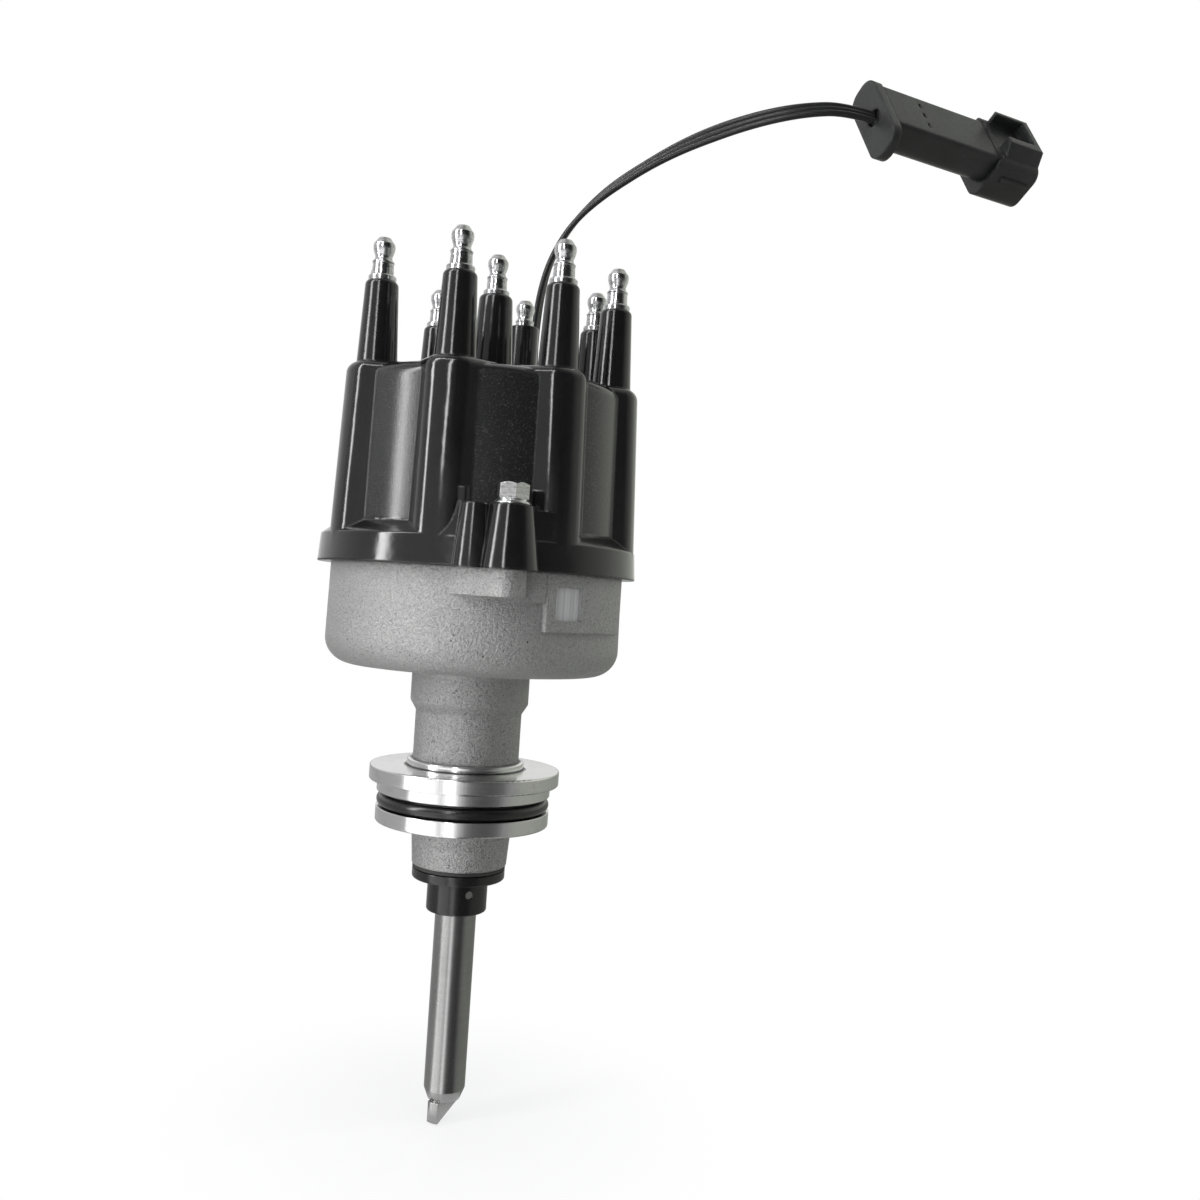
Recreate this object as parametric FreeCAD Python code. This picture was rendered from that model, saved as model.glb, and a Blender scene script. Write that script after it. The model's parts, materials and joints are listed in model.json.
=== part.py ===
import FreeCAD, Part

import math
import os

# Ignition distributor for a V8 engine. Millimetres, +Z up along the drive shaft.
# The origin is on the shaft's axis, in the underside of the hold-down flange.
# Azimuths are degrees about +Z, counted from -Y (the front) towards +X.

V = FreeCAD.Vector
AXIS = V(0, 0, 1)

# Fits
seat_gap = 0.02          # between a pressed or seated piece and its hole
running_gap = 0.05       # radial clearance of the shaft and of the carbon button
body_gap = 0.3           # between pieces that move past each other

# Drive shaft and its tang
shaft_r = 6.35
shaft_low_z = -98.3      # shoulder of the tang
shaft_taper = 3.4
shaft_taper_r = 5.0
shaft_step_z = 68.0      # below the rotor's seat
shaft_top_z = 88.0
rotor_seat_r = 4.9
rotor_flat_depth = 0.9
tang_length = 6.3
tang_width = 11.6
tang_thickness = 3.8
tang_azimuth = 146.0     # direction of the tang's long side
tang_cut_height = 4.4    # the slanting lower edge of the tang
tang_cut_width = 11.0

# Lower neck, pilot and hold-down flange
neck_low_z = -25.65
neck_low_r = 14.55
neck_low_top_r = 15.5
pilot_r = 26.67
pilot_length = 12.7
pilot_edge = 0.6
groove_top_z = -3.4
groove_low_z = -8.1
flange_r = 29.2
flange_thickness = 4.55
flange_edge = 0.5
flange_recess_r = 18.8
flange_recess_depth = 1.5
flange_recess_slope = 0.4

# Upper neck and bowl
neck_r = 16.35
neck_step_z = 21.5
neck_top_r = 18.2
neck_step_height = 3.0
bowl_low_z = 34.0
bowl_slope = 1.2         # rise of the bowl's underside from the neck to the corner
bowl_corner_r = 8.0
bowl_r = 45.1
bowl_rim_r = 44.6
bowl_rim_z = 65.0
bowl_wall = 3.6
bowl_floor = 5.0
spigot_r = 42.6
spigot_height = 2.2
ledge_z = 47.0
ledge_width = 4.6
bushing_boss_r = 12.5

# Bushings, washers and collar
bushing_r = 8.6
upper_bushing_low_z = 26.0
upper_bushing_top_z = 44.0
lower_bushing_low_z = -24.65
lower_bushing_top_z = -8.6
bore_relief = 1.2
washer_thickness = 1.0
upper_washer_r = 10.6
end_washer_r = 14.3
collar_flange_r = 14.3
collar_flange_height = 3.0
collar_r = 9.3
collar_low_z = -40.1
collar_edge = 0.7
pin_r = 1.2
pin_azimuth = 24.0
pin_z = -33.6
pin_short = 0.3          # how far the pin's ends lie inside the collar

# O-ring
o_ring_r = 26.55
o_ring_section_r = 1.95

# Cap screws, their lugs on the bowl and their ears on the cap
screw_circle_r = 48.9
screw_azimuth = 9.4
screw_count = 2
screw_shank_r = 1.9
screw_shank_length = 22.0
screw_washer_r = 5.45
screw_washer_height = 1.0
screw_flat = 8.0         # across the hexagon's flats
screw_head_height = 4.5
screw_neck_r = 4.1
screw_neck_height = 0.5
screw_bevel = 0.6
screw_face_share = 0.92   # round top face as a share of the hexagon
screw_access_height = 8.0
thread_wall = 0.1
ear_top_z = 82.5
ear_top_r = 6.0
ear_low_r = 8.4
ear_edge = 0.4
ear_hole_r = 2.2
ear_root_depth = 3.0
ear_web_low_r = 52.0
ear_web_top_r = 49.0
bump_azimuth = -2.0
bump_circle_r = 46.8
bump_top_r = 4.2
bump_low_r = 5.8
apron_start = -13.0
apron_end = -8.0
apron_r = 48.1
apron_bulge_along = 0.64  # the sweep's middle, as shares of its run and its rise
apron_bulge_up = 0.4
shoulder_end = 27.0      # the land that runs from the screw boss into the next column
shoulder_r = 47.6
shoulder_drop = 0.8
stub_azimuth = -7.3      # small rib that stands on the apron against the column
stub_width = 2.0
stub_height = 4.3
stub_r = 46.2
lug_low_z = 57.5
lug_face_azimuth = -34.0 # direction that the lug's sloping face looks in
lug_r = 5.2              # round end of the lug about its screw

# Raised pad and window on the bowl's right
pad_start = 24.5
pad_end = 70.0
pad_low_z = 48.6
pad_step_z = 56.4
pad_height = 0.8
pad_edge = 0.55          # bevel along the pad's upright edge
window_start = 28.7
window_end = 40.6
window_low_z = 51.9
window_top_z = 61.2
window_depth = 1.1

# Cap
cap_rim_r = bowl_rim_r + 4.1
cap_band_r = cap_rim_r - 0.6
cap_band_z = bowl_rim_z + 8.3
cap_ledge_z = cap_band_z + 3.7
panel_low_r = cap_band_r - 4.6
panel_top_r = panel_low_r - 1.1
cap_shoulder_r = 4.2
cap_top_z = 122.0
cap_top_rise = 1.0
cap_cavity_r = panel_top_r - 3.9
cap_ceiling_z = cap_top_z - 4.5
cap_register_height = 3.4
cap_register_slope = 2.0
button_boss_r = 6.6
button_boss_low_z = cap_ceiling_z - 10.5

# Towers and the columns that carry them
tower_count = 8
tower_azimuth = -15.66   # azimuth of tower 0
tower_circle_r = panel_top_r - 4.27
tower_base_r = 6.1
tower_top_r = 4.75
tower_top_z = cap_top_z + 25.1
tower_edge = 1.5
coil_tower_base_r = 7.0
coil_tower_top_r = 5.1
coil_tower_top_z = tower_top_z + 3.8
sleeved_tower = 4        # the tower at the back that has a straight sleeve
sleeve_r = 5.0
sleeve_top_z = tower_top_z + 3.4
sleeve_edge = 0.3
column_low_reach = cap_band_r + 0.2
column_top_reach = panel_top_r + 3.8
column_front_slope = 14.0   # degrees from square to the column's direction
column_front_r = 12.5
column_flank_slope = 50.0
column_corner_r = 5.8
column_edge_gap = 0.1
column_root_r = panel_top_r - 7.4
column_low_z = bowl_rim_z + 5.0
column_top_z = cap_top_z + 0.9
column_edge = 3.2

# Terminals
terminal_insert_r = 2.2
terminal_insert_low_z = 92.0
coil_insert_low_z = 124.0
terminal_flange_r = 3.85
terminal_flange_edge = 0.5
terminal_flange_height = 1.2
terminal_body_r = 3.1
terminal_body_top_r = 2.9
terminal_body_top = 5.2
terminal_neck_r = 2.45
terminal_neck_z = 6.9
terminal_bulb_r = 3.0
terminal_bulb_low_z = 8.9
terminal_bulb_top_z = 10.1
terminal_crown_r = 2.35
terminal_crown_z = 11.7
terminal_tip_r = 1.75
terminal_length = 12.5

# Carbon button and its spring
button_r = 3.0
button_length = 11.4
spring_wire_r = 0.3
spring_turns = 5

# Rotor
rotor_low_z = shaft_step_z + seat_gap
rotor_hub_r = 8.6
rotor_arm_z = 93.0
rotor_arm_thickness = 5.0
rotor_arm_r = 30.0
rotor_arm_width = 15.0
rotor_tail_r = 15.0
rotor_tip_share = 0.62   # width of the arm's tip as a share of its root
rotor_tail_share = 0.55  # where the tail starts to narrow, as a share of its length
rotor_hub_chamfer = 0.6
rotor_hub_flare = 0.8
rotor_rib_height = 1.6
rotor_rib_width = 1.5
rotor_rib_inset = 3.0
rotor_rib_length = 22.0
blade_tip_overhang = 2.0
blade_thickness = 1.2
blade_width = 7.0
blade_gap = 0.9          # air gap from the blade's tip to a terminal insert
blade_start_r = 3.0
leaf_width = 4.6
leaf_thickness = 0.5
leaf_rise = 6.1
leaf_reach = 9.0
leaf_foot = 6.0
leaf_contact = 1.5
leaf_curl = 1.8

# Pulse ring
pulse_hub_r = 10.4
pulse_disc_z = 62.5
pulse_disc_thickness = 1.4
pulse_hub_top_z = 66.0
pulse_skirt_r = 25.2
pulse_skirt_wall = 1.2
pulse_skirt_low_z = 52.2
pulse_arc = 180.0

# Sensor
plate_thickness = 1.5
plate_r = 40.6
plate_hole_r = 14.2
plate_screw_circle_r = 38.4
plate_screw_azimuth = 70.0
plate_screw_r = 1.5
plate_screw_length = 5.6
plate_screw_head_r = 2.6
plate_screw_head_height = 1.8
sensor_azimuth = 168.0
sensor_inner_r = 18.5
sensor_outer_r = 31.0
sensor_width = 17.0
sensor_top_z = 61.2
sensor_slot_gap = 1.1
sensor_slot_floor_z = 50.6
sensor_tail_width = 6.4
sensor_tail_height = 3.2

# Lead and grommet
lead_width = 6.0
arc_share = 0.45          # part of each run that the arc at its end takes
lead_exit_r = 52.5
lead_exit_z = 53.0
grommet_flange_r = 6.6
grommet_flange_thickness = 2.0
grommet_neck_r = 4.6
grommet_tip_r = 3.6
grommet_inner_reach = 1.0
lead_route = [
    V(10.9, 51.35, 53.0),
    V(13.1, 61.4, 53.0),
    V(15.3, 72.0, 56.2),
    V(17.2, 80.8, 62.9),
    V(18.5, 87.0, 72.4),
    V(19.1, 89.9, 84.6),
    V(18.2, 89.3, 99.5),
    V(16.8, 86.0, 118.0),
    V(15.4, 81.2, 138.0),
    V(15.4, 74.4, 158.1),
    V(16.5, 69.2, 172.7),
    V(19.3, 64.3, 184.1),
    V(25.7, 58.6, 195.3),
    V(35.4, 51.9, 204.6),
    V(47.8, 45.0, 212.6),
    V(61.2, 38.0, 219.5),
    V(75.8, 31.1, 224.7),
    V(89.0, 26.0, 228.2),
    V(101.5, 22.6, 230.4),
    V(113.6, 20.9, 231.3),
    V(124.3, 21.5, 229.6),
]

# Connector, in its own frame: x forward from the rear plate, z to its flat side
connector_origin = lead_route[-1]
connector_yaw = 18.2
connector_pitch = 2.3
connector_roll = 56.0
rear_plate_thickness = 3.4
lead_socket_depth = 1.2
barrel_width = 21.5
barrel_shift = 1.6
barrel_top_z = 5.8
barrel_low_z = -7.0
barrel_corner_r = 5.6
barrel_edge = 1.2
rear_plate_left = -16.3
rear_plate_right = 16.9
rear_plate_rise = 0.15
rear_plate_drop = 0.35
rear_plate_corner_r = 5.6
shell_start = 48.0
shell_end = 66.5
shell_wall = 1.8
shell_socket = 2.0
shell_edge = 1.5
shell_inner_share = 0.6   # how much of the wall the inner corners' radius gives up
shell_width = 26.0
shell_top_z = 6.0
shell_low_z = -10.8
shell_corner_r = 4.5
latch_start_y = -7.6
latch_end_y = 13.0
latch_top_z = 10.2
latch_wall = 1.5
latch_start = 51.5
latch_bar = 2.4
latch_near_wall = 6.2
latch_slope = 3.0
contact_pitch = 5.2
contact_count = 3
contact_width = 1.5
contact_recess = 6.5
contact_root = 6.0
seal_thickness = 1.6
marker_x = 18.2
marker_length = 1.2
marker_width = 2.3
marker_depth = 0.8
marker_pitch = 5.5
marker_shift = 1.5
rib_length = 12.0
rib_height = 0.7
rib_width = 2.2
rib_low_z = -1.5
rib_inset = 2.0


def polar(radius, azimuth, z=0.0):
    angle = math.radians(azimuth)
    return V(radius * math.sin(angle), -radius * math.cos(angle), z)


def turned(shape, azimuth):
    """A copy of a shape that faces the front, turned to an azimuth."""
    copy = shape.copy()
    copy.rotate(V(0, 0, 0), AXIS, azimuth)
    return copy


def rounded_edges(corners):
    """Closed outline through (u, v, corner radius) triples, in the XZ plane."""
    count = len(corners)
    starts = []
    ends = []
    middles = []
    for index in range(count):
        u, v, radius = corners[index]
        here = V(u, 0, v)
        before = V(corners[index - 1][0], 0, corners[index - 1][1])
        after = V(corners[(index + 1) % count][0], 0, corners[(index + 1) % count][1])
        if radius <= 0:
            starts.append(here)
            ends.append(here)
            middles.append(None)
            continue
        to_before = (before - here).normalize()
        to_after = (after - here).normalize()
        half = to_before.getAngle(to_after) / 2
        reach = radius / math.tan(half)
        towards = (to_before + to_after).normalize()
        centre = here + towards * (radius / math.sin(half))
        starts.append(here + to_before * reach)
        ends.append(here + to_after * reach)
        middles.append(centre - towards * radius)
    edges = []
    for index in range(count):
        if middles[index] is not None:
            arc = Part.Arc(starts[index], middles[index], ends[index])
            edges.append(arc.toShape())
        following = (index + 1) % count
        if (starts[following] - ends[index]).Length > 1e-6:
            edges.append(Part.LineSegment(ends[index], starts[following]).toShape())
    return edges


def outline_face(corners):
    return Part.Face(Part.Wire(rounded_edges(corners)))


def revolved(corners, angle=360.0):
    """Solid of revolution of (radius, z, corner radius) triples about +Z."""
    return outline_face(corners).revolve(V(0, 0, 0), AXIS, angle)


def sector(inner_r, outer_r, low_z, top_z, start, end, top_r=None):
    """Part of a ring between two azimuths, straight or with another radius at its top."""
    top_r = outer_r if top_r is None else top_r
    corners = [(inner_r, low_z, 0), (outer_r, low_z, 0), (top_r, top_z, 0), (inner_r, top_z, 0)]
    ring = revolved(corners, end - start)
    return turned(ring, start - 90.0)


def cylinder(radius, low_z, top_z, centre=V(0, 0, 0)):
    return Part.makeCylinder(radius, top_z - low_z, V(centre.x, centre.y, low_z), AXIS)


def cone(low_r, top_r, low_z, top_z, centre=V(0, 0, 0)):
    return Part.makeCone(low_r, top_r, top_z - low_z, V(centre.x, centre.y, low_z), AXIS)


def box_between(low, high):
    return Part.makeBox(high.x - low.x, high.y - low.y, high.z - low.z, low)


def tower_azimuths():
    return [tower_azimuth + 360.0 * index / tower_count for index in range(tower_count)]


def screw_azimuths():
    return [screw_azimuth + 360.0 * index / screw_count for index in range(screw_count)]


def plate_screw_azimuths():
    return [plate_screw_azimuth, plate_screw_azimuth + 180.0]


# Housing

def groove_r():
    """Radius of the floor of the O-ring's groove."""
    return o_ring_r - 2 * o_ring_section_r - seat_gap


def bowl_inner_r():
    return bowl_rim_r - bowl_wall


def grommet_inner_r():
    """Distance of the grommet's inner end from the axis."""
    return bowl_inner_r() - grommet_inner_reach


def housing_outside():
    corner_start = bowl_low_z + bowl_slope
    corners = [
        (0, neck_low_z, 0),
        (neck_low_r, neck_low_z, 0.5),
        (neck_low_top_r, -pilot_length, 0),
        (pilot_r, -pilot_length, pilot_edge),
        (pilot_r, groove_low_z, 0.2),
        (groove_r(), groove_low_z, 0.4),
        (groove_r(), groove_top_z, 0.4),
        (pilot_r, groove_top_z, 0.2),
        (pilot_r, 0, 0),
        (flange_r, 0, flange_edge),
        (flange_r, flange_thickness, flange_edge),
        (flange_recess_r, flange_thickness, 0.3),
        (flange_recess_r - flange_recess_slope, flange_thickness - flange_recess_depth, 0.3),
        (neck_r, flange_thickness - flange_recess_depth, 0.8),
        (neck_r, neck_step_z, 1.5),
        (neck_top_r, neck_step_z + neck_step_height, 1.5),
        (neck_top_r, bowl_low_z, 1.5),
        (bowl_r, corner_start, bowl_corner_r),
        (bowl_rim_r, bowl_rim_z, 0),
        (spigot_r, bowl_rim_z, 0.2),
        (spigot_r, bowl_rim_z + spigot_height, 0.3),
        (0, bowl_rim_z + spigot_height, 0),
    ]
    return revolved(corners)


def housing_hollow():
    inner_r = bowl_inner_r()
    floor_z = bowl_low_z + bowl_floor
    top_z = bowl_rim_z + spigot_height
    corners = [
        (0, upper_bushing_top_z, 0),
        (bushing_boss_r, upper_bushing_top_z, 0.4),
        (bushing_boss_r, floor_z, 0.8),
        (inner_r - ledge_width, floor_z, 1.5),
        (inner_r - ledge_width, ledge_z, 0),
        (inner_r, ledge_z, 0),
        (inner_r, top_z, 0),
        (0, top_z, 0),
    ]
    return revolved(corners)


def plan_face(corners, z):
    """Face seen from above, through (x, distance to the front, corner radius) triples."""
    face = outline_face(corners)
    face.rotate(V(0, 0, 0), V(1, 0, 0), 90)
    face.translate(V(0, 0, z))
    return face


def lug():
    """Lug for a cap screw: a face that runs off the bowl's curve to a round end about the screw."""
    slope = math.radians(screw_azimuth - lug_face_azimuth)
    distance = screw_circle_r * math.cos(slope) + lug_r
    tip = (distance + lug_r * math.sin(slope)) / math.cos(slope)
    inner = bowl_r - 2 * bowl_wall
    corners = [
        (-distance * math.sin(slope), distance * math.cos(slope), 0),
        (lug_r, tip, lug_r),
        (lug_r, inner, 0),
    ]
    piece = plan_face(corners, lug_low_z).extrude(V(0, 0, bowl_rim_z - lug_low_z))
    return turned(piece, screw_azimuth)


def raised_pads():
    """The thickened band on the bowl's right, with its stepped lower edge."""
    inner_r = bowl_r - bowl_wall / 2
    band = sector(inner_r, bowl_r + pad_height, pad_step_z, bowl_rim_z, screw_azimuth, pad_start)
    pad = sector(inner_r, bowl_r + pad_height, pad_low_z, bowl_rim_z, pad_start, pad_end)
    uprights = []
    for edge in pad.Edges:
        low, high = edge.Vertexes[0].Point, edge.Vertexes[-1].Point
        outside = math.hypot(low.x, low.y) > bowl_r
        at_start = math.degrees(math.atan2(low.x, -low.y)) < pad_start + 1.0
        if outside and at_start and abs(high.z - low.z) > pad_edge:
            uprights.append(edge)
    return [band, pad.makeChamfer(pad_edge, uprights)]


def housing():
    body = housing_outside()
    additions = raised_pads()
    for azimuth in screw_azimuths():
        additions.append(turned(lug(), azimuth - screw_azimuth))
    body = body.multiFuse(additions)
    cuts = [housing_hollow()]
    cuts.append(cylinder(bushing_r + seat_gap, lower_bushing_low_z, lower_bushing_top_z))
    cuts.append(cylinder(bushing_r + seat_gap, upper_bushing_low_z, upper_bushing_top_z))
    cuts.append(cylinder(shaft_r + bore_relief, neck_low_z, upper_bushing_top_z))
    for azimuth in screw_azimuths():
        cuts.append(cylinder(screw_shank_r + thread_wall, lug_low_z, bowl_rim_z,
                             polar(screw_circle_r, azimuth)))
    for azimuth in plate_screw_azimuths():
        cuts.append(cylinder(plate_screw_r + thread_wall, ledge_z - plate_screw_length,
                             ledge_z, polar(plate_screw_circle_r, azimuth)))
    cuts.append(sector(bowl_r + pad_height - window_depth, bowl_r + 2 * pad_height,
                       window_low_z, window_top_z, window_start, window_end))
    cuts.append(Part.makeCylinder(grommet_neck_r, lead_exit_r - grommet_inner_r(),
                                  polar(grommet_inner_r(), sensor_azimuth, lead_exit_z),
                                  polar(1, sensor_azimuth)))
    for cutter in cuts:
        body = body.cut(cutter)
    return body.removeSplitter()


def bushing(low_z, top_z):
    return cylinder(bushing_r, low_z, top_z).cut(cylinder(shaft_r + running_gap, low_z, top_z))


def pilot_o_ring():
    return Part.makeTorus(o_ring_r - o_ring_section_r, o_ring_section_r,
                          V(0, 0, groove_low_z + o_ring_section_r + seat_gap), AXIS)


# Shaft group

def drive_shaft():
    corners = [
        (0, shaft_low_z - tang_length, 0),
        (tang_width / 2, shaft_low_z - tang_length, 0),
        (tang_width / 2, shaft_low_z, 0),
        (shaft_taper_r, shaft_low_z, 0),
        (shaft_r, shaft_low_z + shaft_taper, 0.6),
        (shaft_r, shaft_step_z, 0.3),
        (rotor_seat_r, shaft_step_z, 0),
        (rotor_seat_r, shaft_top_z, 0.6),
        (0, shaft_top_z, 0),
    ]
    shaft = revolved(corners)
    low_z = shaft_low_z - tang_length
    side = 2 * shaft_r - tang_thickness
    for sign in (-1, 1):
        flat = Part.makeBox(2 * tang_width, side, tang_length, V(-tang_width, -side / 2, low_z))
        flat.translate(V(0, sign * (tang_thickness + side) / 2, 0))
        shaft = shaft.cut(turned(flat, tang_azimuth - 90.0))
    corner = V(tang_width / 2, -tang_width, low_z)
    wedge = Part.makePolygon([corner, corner + V(-tang_cut_width, 0, 0),
                              corner + V(0, 0, tang_cut_height), corner])
    wedge = Part.Face(wedge).extrude(V(0, 2 * tang_width, 0))
    shaft = shaft.cut(turned(wedge, tang_azimuth - 90.0))
    flat_face = Part.makeBox(2 * shaft_r, shaft_r, shaft_top_z - shaft_step_z,
                             V(-shaft_r, rotor_seat_r - rotor_flat_depth, shaft_step_z))
    shaft = shaft.cut(flat_face)
    hole = Part.makeCylinder(pin_r + seat_gap, 4 * shaft_r, polar(2 * shaft_r, pin_azimuth, pin_z),
                             polar(-1, pin_azimuth))
    return shaft.cut(hole)


def drive_collar():
    top_z = neck_low_z - washer_thickness - body_gap
    step_z = top_z - collar_flange_height
    inner = shaft_r + seat_gap
    corners = [
        (inner, top_z, 0),
        (collar_flange_r, top_z, 0.2),
        (collar_flange_r, step_z, collar_edge),
        (collar_r, step_z, 0.3),
        (collar_r, collar_low_z, collar_edge),
        (inner, collar_low_z, 0),
    ]
    hole = Part.makeCylinder(pin_r + seat_gap, 4 * collar_r, polar(2 * collar_r, pin_azimuth, pin_z),
                             polar(-1, pin_azimuth))
    return revolved(corners).cut(hole)


def collar_pin():
    reach = collar_r - pin_short
    return Part.makeCylinder(pin_r, 2 * reach, polar(reach, pin_azimuth, pin_z), polar(-1, pin_azimuth))


def end_washer():
    low_z = neck_low_z - washer_thickness
    ring = cylinder(end_washer_r, low_z, neck_low_z)
    return ring.cut(cylinder(shaft_r + body_gap, low_z, neck_low_z))


def upper_washer():
    low_z = upper_bushing_top_z + body_gap
    top_z = low_z + washer_thickness
    return cylinder(upper_washer_r, low_z, top_z).cut(cylinder(shaft_r + seat_gap, low_z, top_z))


def pulse_ring():
    low_z = upper_bushing_top_z + body_gap + washer_thickness
    inner = shaft_r + seat_gap
    disc_top = pulse_disc_z + pulse_disc_thickness
    hub = revolved([(inner, low_z, 0), (pulse_hub_r, low_z, 0.4), (pulse_hub_r, pulse_hub_top_z, 0.4),
                    (inner, pulse_hub_top_z, 0)])
    disc = sector(pulse_hub_r - pulse_skirt_wall, pulse_skirt_r, pulse_disc_z, disc_top, 0, pulse_arc)
    skirt = sector(pulse_skirt_r - pulse_skirt_wall, pulse_skirt_r, pulse_skirt_low_z, disc_top,
                   0, pulse_arc)
    return hub.multiFuse([disc, skirt]).removeSplitter()


def rotor_profile(reach, half_width):
    """Outline of the rotor's arm seen from above: it points at azimuth 0."""
    tip_half = half_width * rotor_tip_share
    tail_start = rotor_tail_r * rotor_tail_share
    corners = [
        (-half_width, tail_start, 3.0),
        (-half_width, -rotor_hub_r, 2.0),
        (-tip_half, -reach, 2.0),
        (tip_half, -reach, 2.0),
        (half_width, -rotor_hub_r, 2.0),
        (half_width, tail_start, 3.0),
        (0, rotor_tail_r, 4.0),
    ]
    face = outline_face(corners)
    face.rotate(V(0, 0, 0), V(1, 0, 0), -90)
    return face


def rotor():
    arm_top = rotor_arm_z + rotor_arm_thickness
    hub_top = rotor_arm_z + rotor_hub_chamfer
    hub = revolved([(0, rotor_low_z, 0), (rotor_hub_r - rotor_hub_chamfer, rotor_low_z, 0.5),
                    (rotor_hub_r + rotor_hub_flare, hub_top, 0), (0, hub_top, 0)])
    flat = rotor_profile(rotor_arm_r, rotor_arm_width / 2)
    low = flat.BoundBox.ZMin
    flat.translate(V(0, 0, rotor_arm_z - low))
    arm = flat.extrude(V(0, 0, rotor_arm_thickness))
    body = hub.fuse(arm)
    rib_middle = blade_width / 2 + 2 * seat_gap + rotor_rib_width / 2
    for sign in (-1, 1):
        rib = Part.makeBox(rotor_rib_width, rotor_rib_length, rotor_rib_height,
                           V(-rotor_rib_width / 2, -rotor_arm_r + rotor_rib_inset, arm_top))
        rib.translate(V(sign * rib_middle, 0, 0))
        body = body.fuse(rib)
    bore_r = rotor_seat_r + seat_gap
    bore = cylinder(bore_r, rotor_low_z, shaft_top_z + body_gap)
    bore = bore.cut(Part.makeBox(2 * bore_r, bore_r, 2 * shaft_top_z,
                                 V(-bore_r, rotor_seat_r - rotor_flat_depth + seat_gap, 0)))
    return body.cut(bore).removeSplitter()


def rotor_blade():
    low_z = rotor_arm_z + rotor_arm_thickness
    tip_r = tower_circle_r - terminal_insert_r - blade_gap
    strip = box_between(V(-blade_width / 2, -tip_r - blade_tip_overhang, low_z),
                        V(blade_width / 2, blade_start_r, low_z + blade_thickness))
    return strip.common(cylinder(tip_r, low_z, low_z + blade_thickness))


def rotor_spring():
    """Leaf spring: flat foot on the blade, a rise and a curled contact under the button."""
    foot_z = rotor_arm_z + rotor_arm_thickness + blade_thickness
    top_z = foot_z + leaf_rise
    half = leaf_thickness / 2
    path = [
        (-leaf_reach - leaf_foot, foot_z + half),
        (-leaf_reach, foot_z + half),
        (-leaf_contact, top_z - half),
        (leaf_contact, top_z - half),
        (2 * leaf_contact, top_z - leaf_curl),
    ]
    upper = []
    lower = []
    for index in range(len(path)):
        here = V(0, path[index][0], path[index][1])
        before = V(0, *path[max(index - 1, 0)])
        after = V(0, *path[min(index + 1, len(path) - 1)])
        along = (after - before).normalize()
        across = V(0, -along.z, along.y) * half
        upper.append(here + across)
        lower.append(here - across)
    upper[0].z = foot_z + leaf_thickness
    lower[0].z = foot_z
    upper[1].z = foot_z + leaf_thickness
    lower[1].z = foot_z
    for point in (upper[2], upper[3]):
        point.z = top_z
    for point in (lower[2], lower[3]):
        point.z = top_z - leaf_thickness
    outline = Part.makePolygon(upper + lower[::-1] + [upper[0]])
    strip = Part.Face(outline).extrude(V(leaf_width, 0, 0))
    strip.translate(V(-leaf_width / 2, 0, 0))
    return strip


# Cap

def cap_shell():
    corners = [
        (0, bowl_rim_z, 0),
        (cap_rim_r, bowl_rim_z, 0.4),
        (cap_band_r, cap_band_z, 0.6),
        (panel_low_r, cap_ledge_z, 0.6),
        (panel_top_r, cap_top_z, cap_shoulder_r),
        (0, cap_top_z + cap_top_rise, 0),
    ]
    return revolved(corners)


def column_outline(reach, z):
    """Plan of a column that faces the front: a gently arched face between two slanted flanks."""
    slope = math.radians(column_front_slope)
    flank = math.radians(column_flank_slope)
    front_run = column_front_r * math.tan(slope)
    corner_run = column_corner_r * math.tan((flank - slope) / 2)
    half_face = (front_run + corner_run + column_edge_gap) * math.cos(slope)
    peak = reach + column_front_r * (1 / math.cos(slope) - 1)
    corner = peak - half_face * math.tan(slope)
    root = half_face + (corner - column_root_r) / math.tan(flank)
    return plan_face([
        (-root, column_root_r, 0),
        (-half_face, corner, column_corner_r),
        (0, peak, column_front_r),
        (half_face, corner, column_corner_r),
        (root, column_root_r, 0),
    ], z)


def column(azimuth):
    """Rib that carries a tower: it leans in a little and has a rounded shoulder."""
    low = column_outline(column_low_reach, column_low_z)
    top = column_outline(column_top_reach, column_top_z)
    rib = Part.makeLoft([low.OuterWire, top.OuterWire], True, True)
    rims = []
    for edge in rib.Edges:
        at_back = edge.BoundBox.YMin > -column_root_r - column_edge
        if edge.BoundBox.ZMin > column_top_z - column_edge and not at_back:
            rims.append(edge)
    return turned(rib.makeFillet(column_edge, rims), azimuth)


def tower(base_r, top_r, top_z):
    corners = [(0, cap_ceiling_z, 0), (base_r, cap_ceiling_z, 0), (top_r, top_z, tower_edge), (0, top_z, 0)]
    return revolved(corners)


def sleeve():
    """Straight sleeve round the tower at the back, open above the terminal's flange."""
    inner_r = terminal_flange_r + body_gap
    corners = [(0, cap_ceiling_z, 0), (sleeve_r, cap_ceiling_z, 0), (sleeve_r, sleeve_top_z, sleeve_edge),
               (inner_r, sleeve_top_z, 0), (inner_r, tower_top_z, 0), (0, tower_top_z, 0)]
    return revolved(corners)


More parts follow.
